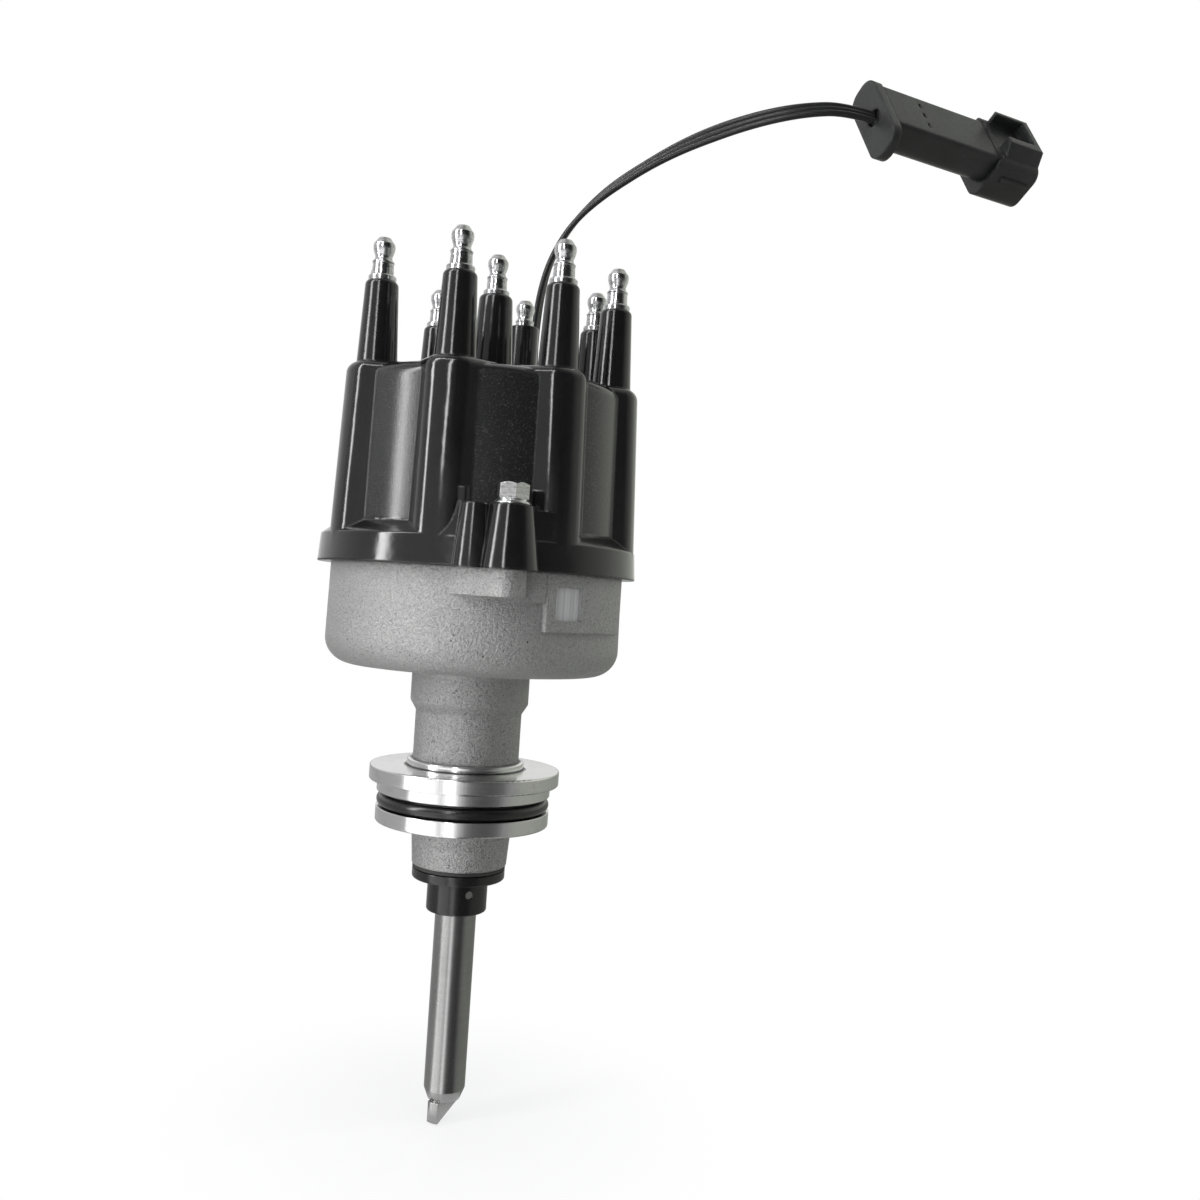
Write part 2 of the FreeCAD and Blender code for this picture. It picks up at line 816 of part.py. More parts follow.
def screw_ear():
    """Screw boss, the bump beside it, the swept apron and the shoulder, in the front's direction."""
    seat = polar(screw_circle_r, screw_azimuth)
    boss = cone(ear_low_r, ear_top_r, bowl_rim_z, ear_top_z, seat)
    bump = cone(bump_low_r, bump_top_r, bowl_rim_z, ear_top_z, polar(bump_circle_r, bump_azimuth))
    pieces = []
    for piece in (boss, bump):
        rims = [edge for edge in piece.Edges if edge.BoundBox.ZMin > ear_top_z - ear_edge]
        pieces.append(piece.makeFillet(ear_edge, rims))
    root_r = panel_top_r - ear_root_depth
    pieces.append(sector(root_r, ear_web_low_r, bowl_rim_z, ear_top_z,
                         bump_azimuth, screw_azimuth, ear_web_top_r))
    pieces.append(sector(root_r, shoulder_r, bowl_rim_z, ear_top_z - shoulder_drop,
                         screw_azimuth, shoulder_end))
    half_stub = math.degrees(stub_width / 2 / stub_r)
    pieces.append(sector(root_r, stub_r, cap_ledge_z, ear_top_z + stub_height,
                         stub_azimuth - half_stub, stub_azimuth + half_stub))
    sweep = sector(root_r, apron_r, bowl_rim_z, ear_top_z, apron_start, bump_azimuth)
    foot_x = apron_r * math.sin(math.radians(apron_start))
    peak_x = apron_r * math.sin(math.radians(apron_end))
    middle_x = foot_x + (peak_x - foot_x) * apron_bulge_along
    middle_z = cap_band_z + (ear_top_z - cap_band_z) * apron_bulge_up
    curve = Part.Arc(V(foot_x, 0, cap_band_z), V(middle_x, 0, middle_z), V(peak_x, 0, ear_top_z))
    close = [V(peak_x, 0, ear_top_z), V(0, 0, ear_top_z), V(0, 0, bowl_rim_z),
             V(foot_x, 0, bowl_rim_z), V(foot_x, 0, cap_band_z)]
    edges = [curve.toShape()]
    for start, end in zip(close[:-1], close[1:]):
        edges.append(Part.LineSegment(start, end).toShape())
    curtain = Part.Face(Part.Wire(edges)).extrude(V(0, -2 * apron_r, 0))
    pieces.append(sweep.common(curtain))
    return pieces


def distributor_cap():
    additions = []
    for index, azimuth in enumerate(tower_azimuths()):
        additions.append(column(azimuth))
        post = sleeve() if index == sleeved_tower else tower(tower_base_r, tower_top_r, tower_top_z)
        post.translate(polar(tower_circle_r, azimuth))
        additions.append(post)
    additions.append(tower(coil_tower_base_r, coil_tower_top_r, coil_tower_top_z))
    for azimuth in screw_azimuths():
        for piece in screw_ear():
            additions.append(turned(piece, azimuth - screw_azimuth))
    cap = cap_shell().multiFuse(additions)
    hollow = revolved([(0, bowl_rim_z, 0), (spigot_r + seat_gap, bowl_rim_z, 0),
                       (spigot_r + seat_gap, bowl_rim_z + cap_register_height, 0),
                       (cap_cavity_r, bowl_rim_z + cap_register_height + cap_register_slope, 0),
                       (cap_cavity_r, cap_ceiling_z, 2.0), (button_boss_r, cap_ceiling_z, 0.6),
                       (button_boss_r, button_boss_low_z, 0.5), (0, button_boss_low_z, 0)])
    cuts = [hollow, cylinder(button_r + running_gap, button_boss_low_z, coil_tower_top_z)]
    for azimuth in tower_azimuths():
        cuts.append(cylinder(terminal_insert_r + seat_gap, terminal_insert_low_z, tower_top_z,
                             polar(tower_circle_r, azimuth)))
    for azimuth in screw_azimuths():
        seat = polar(screw_circle_r, azimuth)
        cuts.append(cylinder(ear_hole_r, bowl_rim_z, ear_top_z, seat))
        cuts.append(cylinder(screw_washer_r + body_gap, ear_top_z, ear_top_z + screw_access_height, seat))
    for cutter in cuts:
        cap = cap.cut(cutter)
    return cap.removeSplitter()


def cap_screw(azimuth):
    seat = polar(screw_circle_r, azimuth)
    washer_top = ear_top_z + screw_washer_height
    neck_top = washer_top + screw_neck_height
    washer = revolved([(0, ear_top_z, 0), (screw_washer_r, ear_top_z, 0.3),
                       (screw_washer_r - screw_bevel, washer_top, 0.3), (0, washer_top, 0)])
    washer.translate(seat)
    neck = cylinder(screw_neck_r, washer_top, neck_top, seat)
    shank = cylinder(screw_shank_r, ear_top_z - screw_shank_length, ear_top_z, seat)
    corner_r = screw_flat / 2 / math.cos(math.radians(30))
    points = [polar(corner_r, 60 * index + azimuth) for index in range(7)]
    head = Part.Face(Part.makePolygon(points)).extrude(V(0, 0, screw_head_height))
    head.translate(seat + V(0, 0, neck_top))
    head_top = neck_top + screw_head_height
    face_r = screw_flat / 2 * screw_face_share
    chamfer = revolved([(0, neck_top, 0), (corner_r, neck_top, 0), (corner_r, head_top - screw_bevel, 0),
                        (face_r, head_top, 0), (0, head_top, 0)])
    chamfer.translate(seat)
    return head.common(chamfer).multiFuse([washer, neck, shank]).removeSplitter()


def terminal(insert_r, low_z, seat_z):
    """Turned post: insert in the tower, flange on its top, neck and bulb for the boot's clip."""
    corners = [
        (0, low_z, 0),
        (insert_r, low_z, 0.3),
        (insert_r, seat_z, 0),
        (terminal_flange_r, seat_z, 0),
        (terminal_flange_r, seat_z + terminal_flange_edge, 0.2),
        (terminal_body_r, seat_z + terminal_flange_height, 0.2),
        (terminal_body_top_r, seat_z + terminal_body_top, 0.3),
        (terminal_neck_r, seat_z + terminal_neck_z, 1.2),
        (terminal_bulb_r, seat_z + terminal_bulb_low_z, 0.9),
        (terminal_bulb_r, seat_z + terminal_bulb_top_z, 0.8),
        (terminal_crown_r, seat_z + terminal_crown_z, 0.5),
        (terminal_tip_r, seat_z + terminal_length, 0.2),
        (0, seat_z + terminal_length, 0),
    ]
    return revolved(corners)


def plug_terminal(azimuth):
    post = terminal(terminal_insert_r, terminal_insert_low_z, tower_top_z)
    post.translate(polar(tower_circle_r, azimuth))
    return post


def carbon_button():
    low_z = button_low_z()
    return revolved([(0, low_z, 0), (button_r, low_z, 0.9), (button_r, low_z + button_length, 0.2),
                     (0, low_z + button_length, 0)])


def button_low_z():
    foot_z = rotor_arm_z + rotor_arm_thickness + blade_thickness
    return foot_z + leaf_rise + body_gap


def button_spring():
    low_z = button_low_z() + button_length + spring_wire_r + seat_gap
    top_z = coil_insert_low_z - spring_wire_r - seat_gap
    coil_r = button_r - 2 * spring_wire_r
    pitch = (top_z - low_z) / spring_turns
    helix = Part.makeHelix(pitch, top_z - low_z, coil_r)
    helix.translate(V(0, 0, low_z))
    section = Part.Wire(Part.makeCircle(spring_wire_r, V(coil_r, 0, low_z), V(0, 1, 0)))
    return Part.Wire(helix.Edges).makePipeShell([section], True, True)


# Sensor

def sensor_plate():
    low_z = ledge_z
    plate = cylinder(plate_r, low_z, low_z + plate_thickness)
    plate = plate.cut(cylinder(plate_hole_r, low_z, low_z + plate_thickness))
    for azimuth in plate_screw_azimuths():
        plate = plate.cut(cylinder(plate_screw_r + thread_wall, low_z, low_z + plate_thickness,
                                   polar(plate_screw_circle_r, azimuth)))
    return plate


def sensor_body():
    low_z = ledge_z + plate_thickness
    half = sensor_width / 2
    block = box_between(V(-half, -sensor_outer_r, low_z), V(half, -sensor_inner_r, sensor_top_z))
    slot = sector(pulse_skirt_r - pulse_skirt_wall - sensor_slot_gap, pulse_skirt_r + sensor_slot_gap,
                  sensor_slot_floor_z, sensor_top_z, -90, 90)
    tail_low = lead_exit_z - sensor_tail_height / 2
    tail = box_between(V(-sensor_tail_width / 2, seat_gap - grommet_inner_r(), tail_low),
                       V(sensor_tail_width / 2, -sensor_outer_r, tail_low + sensor_tail_height))
    body = block.cut(slot).fuse(tail)
    return turned(body, sensor_azimuth)


def sensor_screws():
    screws = []
    seat_z = ledge_z + plate_thickness
    for azimuth in plate_screw_azimuths():
        centre = polar(plate_screw_circle_r, azimuth)
        shank = cylinder(plate_screw_r, seat_z - plate_screw_length, seat_z, centre)
        head = revolved([(0, seat_z, 0), (plate_screw_head_r, seat_z, 0),
                         (plate_screw_head_r, seat_z + plate_screw_head_height, 0.7),
                         (0, seat_z + plate_screw_head_height, 0)])
        head.translate(centre)
        screws.append(head.fuse(shank))
    return Part.makeCompound(screws)


def lead_grommet():
    """Rubber grommet through the bowl's wall, with a tapered sleeve for the lead."""
    inner = grommet_inner_r()
    wall_r = bowl_r + seat_gap
    corners = [
        (0, inner, 0),
        (grommet_neck_r - seat_gap, inner, 0),
        (grommet_neck_r - seat_gap, wall_r, 0),
        (grommet_flange_r, wall_r, 0.3),
        (grommet_flange_r, wall_r + grommet_flange_thickness, 0.6),
        (grommet_neck_r, wall_r + grommet_flange_thickness, 0.4),
        (grommet_tip_r, lead_exit_r, 0.3),
        (0, lead_exit_r, 0),
    ]
    plug = revolved(corners)
    plug.rotate(V(0, 0, 0), V(1, 0, 0), 90)
    plug.translate(V(0, 0, lead_exit_z))
    plug = plug.cut(cylinder(bowl_r, lead_exit_z - 2 * grommet_flange_r,
                             lead_exit_z + 2 * grommet_flange_r).cut(
        Part.makeCylinder(grommet_neck_r, 2 * bowl_r, V(0, 0, lead_exit_z), V(0, -1, 0))))
    return turned(plug, sensor_azimuth)


# Lead

def lead_path():
    """Straight runs joined by tangent arcs, each as large as its two runs allow."""
    edges = []
    radii = []
    here = lead_route[0]
    for index in range(1, len(lead_route) - 1):
        corner = lead_route[index]
        back = lead_route[index - 1] - corner
        ahead = lead_route[index + 1] - corner
        reach = arc_share * min(back.Length, ahead.Length)
        back_unit = V(back).normalize()
        ahead_unit = V(ahead).normalize()
        half_turn = (math.pi - back_unit.getAngle(ahead_unit)) / 2
        radius = reach / math.tan(half_turn)
        radii.append(radius)
        start = corner + back_unit * reach
        end = corner + ahead_unit * reach
        inward = (back_unit + ahead_unit).normalize()
        middle = corner + inward * (radius / math.cos(half_turn) - radius)
        edges.append(Part.LineSegment(here, start).toShape())
        edges.append(Part.Arc(start, middle, end).toShape())
        here = end
    edges.append(Part.LineSegment(here, lead_route[-1]).toShape())
    return Part.Wire(edges), radii


def sensor_lead():
    path, radii = lead_path()
    first = path.Edges[0]
    direction = first.tangentAt(first.FirstParameter)
    section = Part.Wire(Part.makeCircle(lead_width / 2, lead_route[0], direction))
    tube = path.makePipeShell([section], True, False)
    expected = math.pi * (lead_width / 2) ** 2 * path.Length
    print("lead length", round(path.Length, 1), "smallest radius", round(min(radii), 1),
          "volume ratio", round(tube.Volume / expected, 4))
    print("lead radii", [round(radius) for radius in radii])
    return tube


# Connector

def placed(shape):
    copy = shape.copy()
    turn = FreeCAD.Rotation(connector_yaw, connector_pitch, connector_roll)
    copy.Placement = FreeCAD.Placement(connector_origin, turn).multiply(copy.Placement)
    return copy


def section_face(x, corners):
    """Face across the connector at x, from (y, z, corner radius) triples."""
    face = outline_face(corners)
    matrix = FreeCAD.Matrix(0, 1, 0, x, 1, 0, 0, 0, 0, 0, 1, 0, 0, 0, 0, 1)
    return face.transformGeometry(matrix)


def prism(x_start, x_end, corners):
    return section_face(x_start, corners).extrude(V(x_end - x_start, 0, 0))


def connector_rear_plate():
    """Rounded flange at the connector's back, as high as the barrel and wider."""
    low_z = barrel_low_z - rear_plate_drop
    top_z = barrel_top_z + rear_plate_rise
    plate = prism(0, rear_plate_thickness, [
        (rear_plate_left, low_z, rear_plate_corner_r),
        (rear_plate_right, low_z, rear_plate_corner_r),
        (rear_plate_right, top_z, rear_plate_corner_r),
        (rear_plate_left, top_z, rear_plate_corner_r),
    ])
    hole_r = lead_width / 2 + seat_gap
    return plate.cut(Part.makeCylinder(hole_r, lead_socket_depth, V(0, 0, 0), V(1, 0, 0)))


def barrel_corners(gap):
    """The barrel's section, grown by a gap."""
    left = barrel_shift - barrel_width / 2 - gap
    right = barrel_shift + barrel_width / 2 + gap
    low_z = barrel_low_z - gap
    top_z = barrel_top_z + gap
    return [(left, low_z, barrel_corner_r), (right, low_z, barrel_corner_r),
            (right, top_z, barrel_edge), (left, top_z, barrel_edge)]


def barrel_end():
    """Where the barrel stops, inside the front shell."""
    return shell_start + shell_socket


def connector_body():
    body = prism(rear_plate_thickness, barrel_end(), barrel_corners(0))
    cuts = []
    for index in range(contact_count):
        y = marker_shift + (index - 1) * marker_pitch
        cuts.append(box_between(V(marker_x - marker_length / 2, y - marker_width / 2,
                                  barrel_top_z - marker_depth),
                                V(marker_x + marker_length / 2, y + marker_width / 2, barrel_top_z)))
    for index in range(contact_count):
        y = barrel_shift + (index - 1) * contact_pitch
        half = contact_width / 2 + seat_gap
        cuts.append(box_between(V(barrel_end() - contact_root, y - half, -half),
                                V(barrel_end(), y + half, half)))
    for cutter in cuts:
        body = body.cut(cutter)
    return body


def shell_corners(inset):
    left = barrel_shift - shell_width / 2 + inset
    right = barrel_shift + shell_width / 2 - inset
    corner = shell_corner_r - inset * shell_inner_share
    return [(left, shell_low_z + inset, corner), (right, shell_low_z + inset, corner),
            (right, shell_top_z - inset, shell_edge), (left, shell_top_z - inset, corner)]


def connector_front_shell():
    shell = prism(shell_start, shell_end, shell_corners(0))
    latch = box_between(V(latch_start, latch_start_y, shell_top_z - shell_wall / 2),
                        V(shell_end, latch_end_y, latch_top_z))
    peak = V(0, latch_start_y, latch_top_z)
    ramp = Part.makePolygon([peak, peak + V(0, latch_slope, 0), V(0, latch_start_y, shell_top_z), peak])
    latch = latch.cut(Part.Face(ramp).extrude(V(2 * shell_end, 0, 0)))
    pocket = box_between(V(latch_start, latch_start_y + latch_near_wall, shell_top_z),
                         V(shell_end - latch_bar, latch_end_y - latch_wall, latch_top_z))
    side_y = barrel_shift - shell_width / 2
    rib = box_between(V(shell_end - rib_inset - rib_length, side_y - rib_height, rib_low_z),
                      V(shell_end - rib_inset, side_y + shell_wall / 2, rib_low_z + rib_width))
    shell = shell.multiFuse([latch, rib]).cut(pocket)
    shell = shell.cut(prism(shell_start, barrel_end(), barrel_corners(seat_gap)))
    return shell.cut(prism(barrel_end(), shell_end, shell_corners(shell_wall)))


def connector_seal():
    outer = shell_corners(shell_wall + seat_gap)
    seal = prism(barrel_end(), barrel_end() + seal_thickness, outer)
    for index in range(contact_count):
        y = barrel_shift + (index - 1) * contact_pitch
        half = contact_width / 2 + seat_gap
        seal = seal.cut(box_between(V(shell_start, y - half, -half), V(shell_end, y + half, half)))
    return seal


def connector_contacts():
    pins = []
    for index in range(contact_count):
        y = barrel_shift + (index - 1) * contact_pitch
        half = contact_width / 2
        pins.append(box_between(V(barrel_end() - contact_root, y - half, -half),
                                V(shell_end - contact_recess, y + half, half)))
    return Part.makeCompound(pins)


def build():
    nodes = {
        "housing": housing(),
        "upper_bushing": bushing(upper_bushing_low_z, upper_bushing_top_z),
        "lower_bushing": bushing(lower_bushing_low_z, lower_bushing_top_z),
        "pilot_o_ring": pilot_o_ring(),
        "end_washer": end_washer(),
        "drive_shaft": drive_shaft(),
        "drive_collar": drive_collar(),
        "collar_pin": collar_pin(),
        "upper_washer": upper_washer(),
        "pulse_ring": pulse_ring(),
        "rotor": rotor(),
        "rotor_blade": rotor_blade(),
        "rotor_spring": rotor_spring(),
        "distributor_cap": distributor_cap(),
        "cap_screw_front": cap_screw(screw_azimuths()[0]),
        "cap_screw_rear": cap_screw(screw_azimuths()[1]),
        "coil_terminal": terminal(button_r, coil_insert_low_z, coil_tower_top_z),
        "carbon_button": carbon_button(),
        "button_spring": button_spring(),
        "sensor_plate": sensor_plate(),
        "sensor_body": sensor_body(),
        "sensor_screws": sensor_screws(),
        "lead_grommet": lead_grommet(),
        "sensor_lead": sensor_lead(),
        "connector_rear_plate": placed(connector_rear_plate()),
        "connector_body": placed(connector_body()),
        "connector_front_shell": placed(connector_front_shell()),
        "connector_seal": placed(connector_seal()),
        "connector_contacts": placed(connector_contacts()),
    }
    for number, azimuth in enumerate(tower_azimuths(), start=1):
        nodes["plug_terminal_%d" % number] = plug_terminal(azimuth)
    return nodes


os.makedirs("parts", exist_ok=True)
for name, shape in build().items():
    shape.exportStep("parts/%s.step" % name)
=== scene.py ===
import json
import math

import bmesh
import bpy
from mathutils import Matrix, Vector


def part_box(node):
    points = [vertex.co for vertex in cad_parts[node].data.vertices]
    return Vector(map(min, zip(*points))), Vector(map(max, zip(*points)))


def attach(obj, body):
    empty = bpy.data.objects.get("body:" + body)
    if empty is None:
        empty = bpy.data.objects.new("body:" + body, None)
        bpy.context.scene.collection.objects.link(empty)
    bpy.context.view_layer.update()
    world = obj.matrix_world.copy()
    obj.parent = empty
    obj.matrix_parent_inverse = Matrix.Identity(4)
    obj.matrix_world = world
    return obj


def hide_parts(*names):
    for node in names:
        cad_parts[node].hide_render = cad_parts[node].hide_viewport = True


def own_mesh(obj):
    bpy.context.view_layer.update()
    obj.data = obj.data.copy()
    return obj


# Looks of the ignition distributor. Metres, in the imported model's frame:
# +Z up along the drive shaft, the camera looks along +Y.

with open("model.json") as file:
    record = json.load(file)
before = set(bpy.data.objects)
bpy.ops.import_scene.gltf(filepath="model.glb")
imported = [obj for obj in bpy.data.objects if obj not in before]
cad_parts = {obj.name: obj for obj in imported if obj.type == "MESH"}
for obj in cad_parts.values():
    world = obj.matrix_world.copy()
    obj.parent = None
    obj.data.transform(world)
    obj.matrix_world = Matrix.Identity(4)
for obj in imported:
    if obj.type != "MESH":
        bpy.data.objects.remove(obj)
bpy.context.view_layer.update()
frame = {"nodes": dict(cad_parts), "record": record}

# Camera: place, aim and lens of the photograph
EYE = Vector((0.0, -0.352186, 0.057577))
AIM_UP = math.radians(0.17)
AIM_RIGHT = math.radians(6.26)
CAMERA_ROLL = math.radians(3.75)
PIXEL_FOCAL = 1125.45
PICTURE_SIDE = 1200
SENSOR = 36.0

# Lead: the route of the CAD source, in metres
LEAD_ROUTE = [
    (0.0109, 0.05135, 0.0530),
    (0.0131, 0.0614, 0.0530),
    (0.0153, 0.0720, 0.0562),
    (0.0172, 0.0808, 0.0629),
    (0.0185, 0.0870, 0.0724),
    (0.0191, 0.0899, 0.0846),
    (0.0182, 0.0893, 0.0995),
    (0.0168, 0.0860, 0.1180),
    (0.0154, 0.0812, 0.1380),
    (0.0154, 0.0744, 0.1581),
    (0.0165, 0.0692, 0.1727),
    (0.0193, 0.0643, 0.1841),
    (0.0257, 0.0586, 0.1953),
    (0.0354, 0.0519, 0.2046),
    (0.0478, 0.0450, 0.2126),
    (0.0612, 0.0380, 0.2195),
    (0.0758, 0.0311, 0.2247),
    (0.0890, 0.0260, 0.2282),
    (0.1015, 0.0226, 0.2304),
    (0.1136, 0.0209, 0.2313),
    (0.1243, 0.0215, 0.2296),
]
CORE_RADIUS = 0.00108
CORE_PITCH = 0.00192
CORE_STEPS = 9
LEAD_ORDER = 3
LEAD_STEPS = 12          # rings from one route point to the next
LEAD_CREASE = math.radians(40)
# Direction of the flat lead's width at parts of its length
LEAD_FACES = [
    (0.00, (0.98, -0.20, 0.00)),
    (0.30, (0.98, -0.20, 0.00)),
    (0.46, (0.30, 0.95, 0.00)),
    (0.58, (0.10, 0.96, 0.26)),
    (0.70, (-0.10, 0.72, 0.68)),
    (0.82, (-0.18, 0.30, 0.93)),
    (1.00, (-0.14, 0.54, 0.83)),
]


def make_camera():
    forward = Vector((math.sin(AIM_RIGHT) * math.cos(AIM_UP),
                      math.cos(AIM_RIGHT) * math.cos(AIM_UP), math.sin(AIM_UP)))
    level = Vector((math.cos(AIM_RIGHT), -math.sin(AIM_RIGHT), 0.0))
    upright = level.cross(forward)
    right = level * math.cos(CAMERA_ROLL) + upright * math.sin(CAMERA_ROLL)
    up = upright * math.cos(CAMERA_ROLL) - level * math.sin(CAMERA_ROLL)
    data = bpy.data.cameras.new("camera")
    data.sensor_width = SENSOR
    data.lens = PIXEL_FOCAL * SENSOR / PICTURE_SIDE
    data.clip_start = 0.01
    data.clip_end = 50.0
    camera = bpy.data.objects.new("camera", data)
    turn = Matrix((right, up, -forward)).transposed().to_4x4()
    camera.matrix_world = Matrix.Translation(EYE) @ turn
    bpy.context.collection.objects.link(camera)
    bpy.context.scene.camera = camera


def mesh_object(name, points, faces):
    mesh = bpy.data.meshes.new(name)
    mesh.from_pydata(points, [], faces)
    mesh.update()
    for polygon in mesh.polygons:
        polygon.use_smooth = True
    piece = bpy.data.objects.new(name, mesh)
    bpy.context.collection.objects.link(piece)
    return piece


# Node tree helpers

EDGE_SAMPLES = 4


class Tree:
    """Short calls for building one material's nodes."""

    def __init__(self, name):
        self.material = bpy.data.materials.new(name)
        self.material.use_nodes = True
        self.tree = self.material.node_tree
        self.tree.nodes.clear()
        self.output = self.tree.nodes.new("ShaderNodeOutputMaterial")
        self.point = self.tree.nodes.new("ShaderNodeTexCoord").outputs["Object"]

    def link(self, source, socket):
        self.tree.links.new(source, socket)

    def put(self, socket, value):
        if hasattr(value, "links"):
            self.link(value, socket)
        else:
            socket.default_value = value

    def math(self, kind, first, second=0.0, third=0.0):
        node = self.tree.nodes.new("ShaderNodeMath")
        node.operation = kind
        for socket, value in zip(node.inputs, (first, second, third)):
            self.put(socket, value)
        return node.outputs[0]

    def axes(self):
        node = self.tree.nodes.new("ShaderNodeSeparateXYZ")
        self.link(self.point, node.inputs[0])
        return node.outputs

    def scaled(self, factors):
        node = self.tree.nodes.new("ShaderNodeVectorMath")
        node.operation = "MULTIPLY"
        self.link(self.point, node.inputs[0])
        node.inputs[1].default_value = factors
        return node.outputs[0]

    def noise(self, scale, detail=4.0, rough=0.5, vector=None, distortion=0.0):
        node = self.tree.nodes.new("ShaderNodeTexNoise")
        self.link(vector or self.point, node.inputs["Vector"])
        node.inputs["Scale"].default_value = scale
        node.inputs["Detail"].default_value = detail
        node.inputs["Roughness"].default_value = rough
        node.inputs["Distortion"].default_value = distortion
        return node.outputs["Fac"]

    def cells(self, scale):
        node = self.tree.nodes.new("ShaderNodeTexVoronoi")
        self.link(self.point, node.inputs["Vector"])
        node.inputs["Scale"].default_value = scale
        return node.outputs["Distance"]

    def remap(self, value, low, high, out_low=0.0, out_high=1.0, smooth=False):
        node = self.tree.nodes.new("ShaderNodeMapRange")
        node.interpolation_type = "SMOOTHSTEP" if smooth else "LINEAR"
        self.link(value, node.inputs["Value"])
        node.inputs["From Min"].default_value = low
        node.inputs["From Max"].default_value = high
        node.inputs["To Min"].default_value = out_low
        node.inputs["To Max"].default_value = out_high
        return node.outputs["Result"]

    def shade(self, value, stops):
        """Colour ramp through (position, colour) stops."""
        node = self.tree.nodes.new("ShaderNodeValToRGB")
        self.link(value, node.inputs[0])
        elements = node.color_ramp.elements
        while len(elements) < len(stops):
            elements.new(0.5)
        for element, (position, colour) in zip(elements, stops):
            element.position = position
            element.color = (*colour, 1.0)
        return node.outputs["Color"]

    def mix_colour(self, factor, first, second):
        node = self.tree.nodes.new("ShaderNodeMix")
        node.data_type = "RGBA"
        self.put(node.inputs[0], factor)
        for socket, value in zip(node.inputs[6:8], (first, second)):
            self.put(socket, (*value, 1.0) if isinstance(value, tuple) else value)
        return node.outputs[2]

    def bump(self, height, depth, below=None):
        """Bump of a height from 0 to 1 that stands for depth metres."""
        node = self.tree.nodes.new("ShaderNodeBump")
        node.inputs["Strength"].default_value = 1.0
        node.inputs["Distance"].default_value = depth
        self.link(height, node.inputs["Height"])
        if below is not None:
            self.link(below, node.inputs["Normal"])
        return node.outputs["Normal"]

    def rounded(self, radius):
        """Normal that runs round the sharp edges."""
        node = self.tree.nodes.new("ShaderNodeBevel")
        node.samples = EDGE_SAMPLES
        node.inputs["Radius"].default_value = radius
        return node.outputs["Normal"]

    def surface(self, colour, rough, metal=0.0, normal=None, coat=0.0, coat_rough=0.1, ior=1.5,
                anisotropic=0.0, tangent=None):
        node = self.tree.nodes.new("ShaderNodeBsdfPrincipled")
        self.put(node.inputs["Base Color"], (*colour, 1.0) if isinstance(colour, tuple) else colour)
        self.put(node.inputs["Roughness"], rough)
        self.put(node.inputs["Metallic"], metal)
        node.inputs["Coat Weight"].default_value = coat
        node.inputs["Coat Roughness"].default_value = coat_rough
        node.inputs["IOR"].default_value = ior
        node.inputs["Anisotropic"].default_value = anisotropic
        node.inputs["Anisotropic Rotation"].default_value = 0.25 if anisotropic else 0.0
        if tangent is not None:
            self.link(tangent, node.inputs["Tangent"])
        if normal is not None:
            self.link(normal, node.inputs["Normal"])
            self.link(normal, node.inputs["Coat Normal"])
        return node.outputs[0]

    def around(self):
        """Tangent that runs round the Z axis."""
        node = self.tree.nodes.new("ShaderNodeTangent")
        node.direction_type = "RADIAL"
        node.axis = "Z"
        return node.outputs[0]

    def mix_shaders(self, factor, first, second):
        node = self.tree.nodes.new("ShaderNodeMixShader")
        self.put(node.inputs[0], factor)
        self.link(first, node.inputs[1])
        self.link(second, node.inputs[2])
        return node.outputs[0]

    def finish(self, shader):
        self.link(shader, self.output.inputs["Surface"])
        return self.material

    def radius(self, axes):
        """Distance from the Z axis."""
        across = self.math("MULTIPLY", axes[0], axes[0])
        deep = self.math("MULTIPLY", axes[1], axes[1])
        return self.math("SQRT", self.math("ADD", across, deep))

    def azimuth(self, axes):
        """Degrees about +Z from -Y towards +X."""
        back = self.math("MULTIPLY", axes[1], -1.0)
        return self.math("DEGREES", self.math("ARCTAN2", axes[0], back))

    def between(self, value, low, high, edge):
        """1 between low and high, with soft edges."""
        rise = self.remap(value, low - edge, low + edge)
        fall = self.remap(value, high - edge, high + edge, 1.0, 0.0)
        return self.math("MULTIPLY", rise, fall)

    def both(self, first, second):
        return self.math("MULTIPLY", first, second)

    def either(self, first, second):
        return self.math("MAXIMUM", first, second)


# Sizes of the CAD source that the finishes follow, in metres. The window's sides are in degrees.
PILOT_LOW_Z = -0.0127
FLANGE_TOP_Z = 0.00455
NECK_R = 0.01635
BOWL_R = 0.0451
WINDOW_START = 28.7
WINDOW_END = 40.6
WINDOW_LOW_Z = 0.0519
WINDOW_TOP_Z = 0.0612
PANEL_LOW_Z = 0.0770
PANEL_TOP_Z = 0.1195
PANEL_LOW_R = 0.0435
PANEL_TOP_R = 0.0424

# How far the finishes reach past those sizes, in metres, and in degrees for WINDOW_TURN
LAND_INNER_R = 0.0153
MASK_MARGIN = 0.0002
MASK_EDGE = 0.00003
WINDOW_DEPTH = 0.0009
WINDOW_MARGIN = 0.0003
WINDOW_TURN = 0.4
PANEL_EDGE = 0.0006
NECK_GRAIN_R = 0.0168
NECK_GRAIN_END_R = 0.0175

# Turned step at the foot of the upper neck, in metres
STEP_R = 0.0180
STEP_INNER_R = 0.0160
STEP_LOW_Z = 0.0029
STEP_TOP_Z = 0.0066
STEP_EDGE = 0.0003
STEP_SIDES = 128


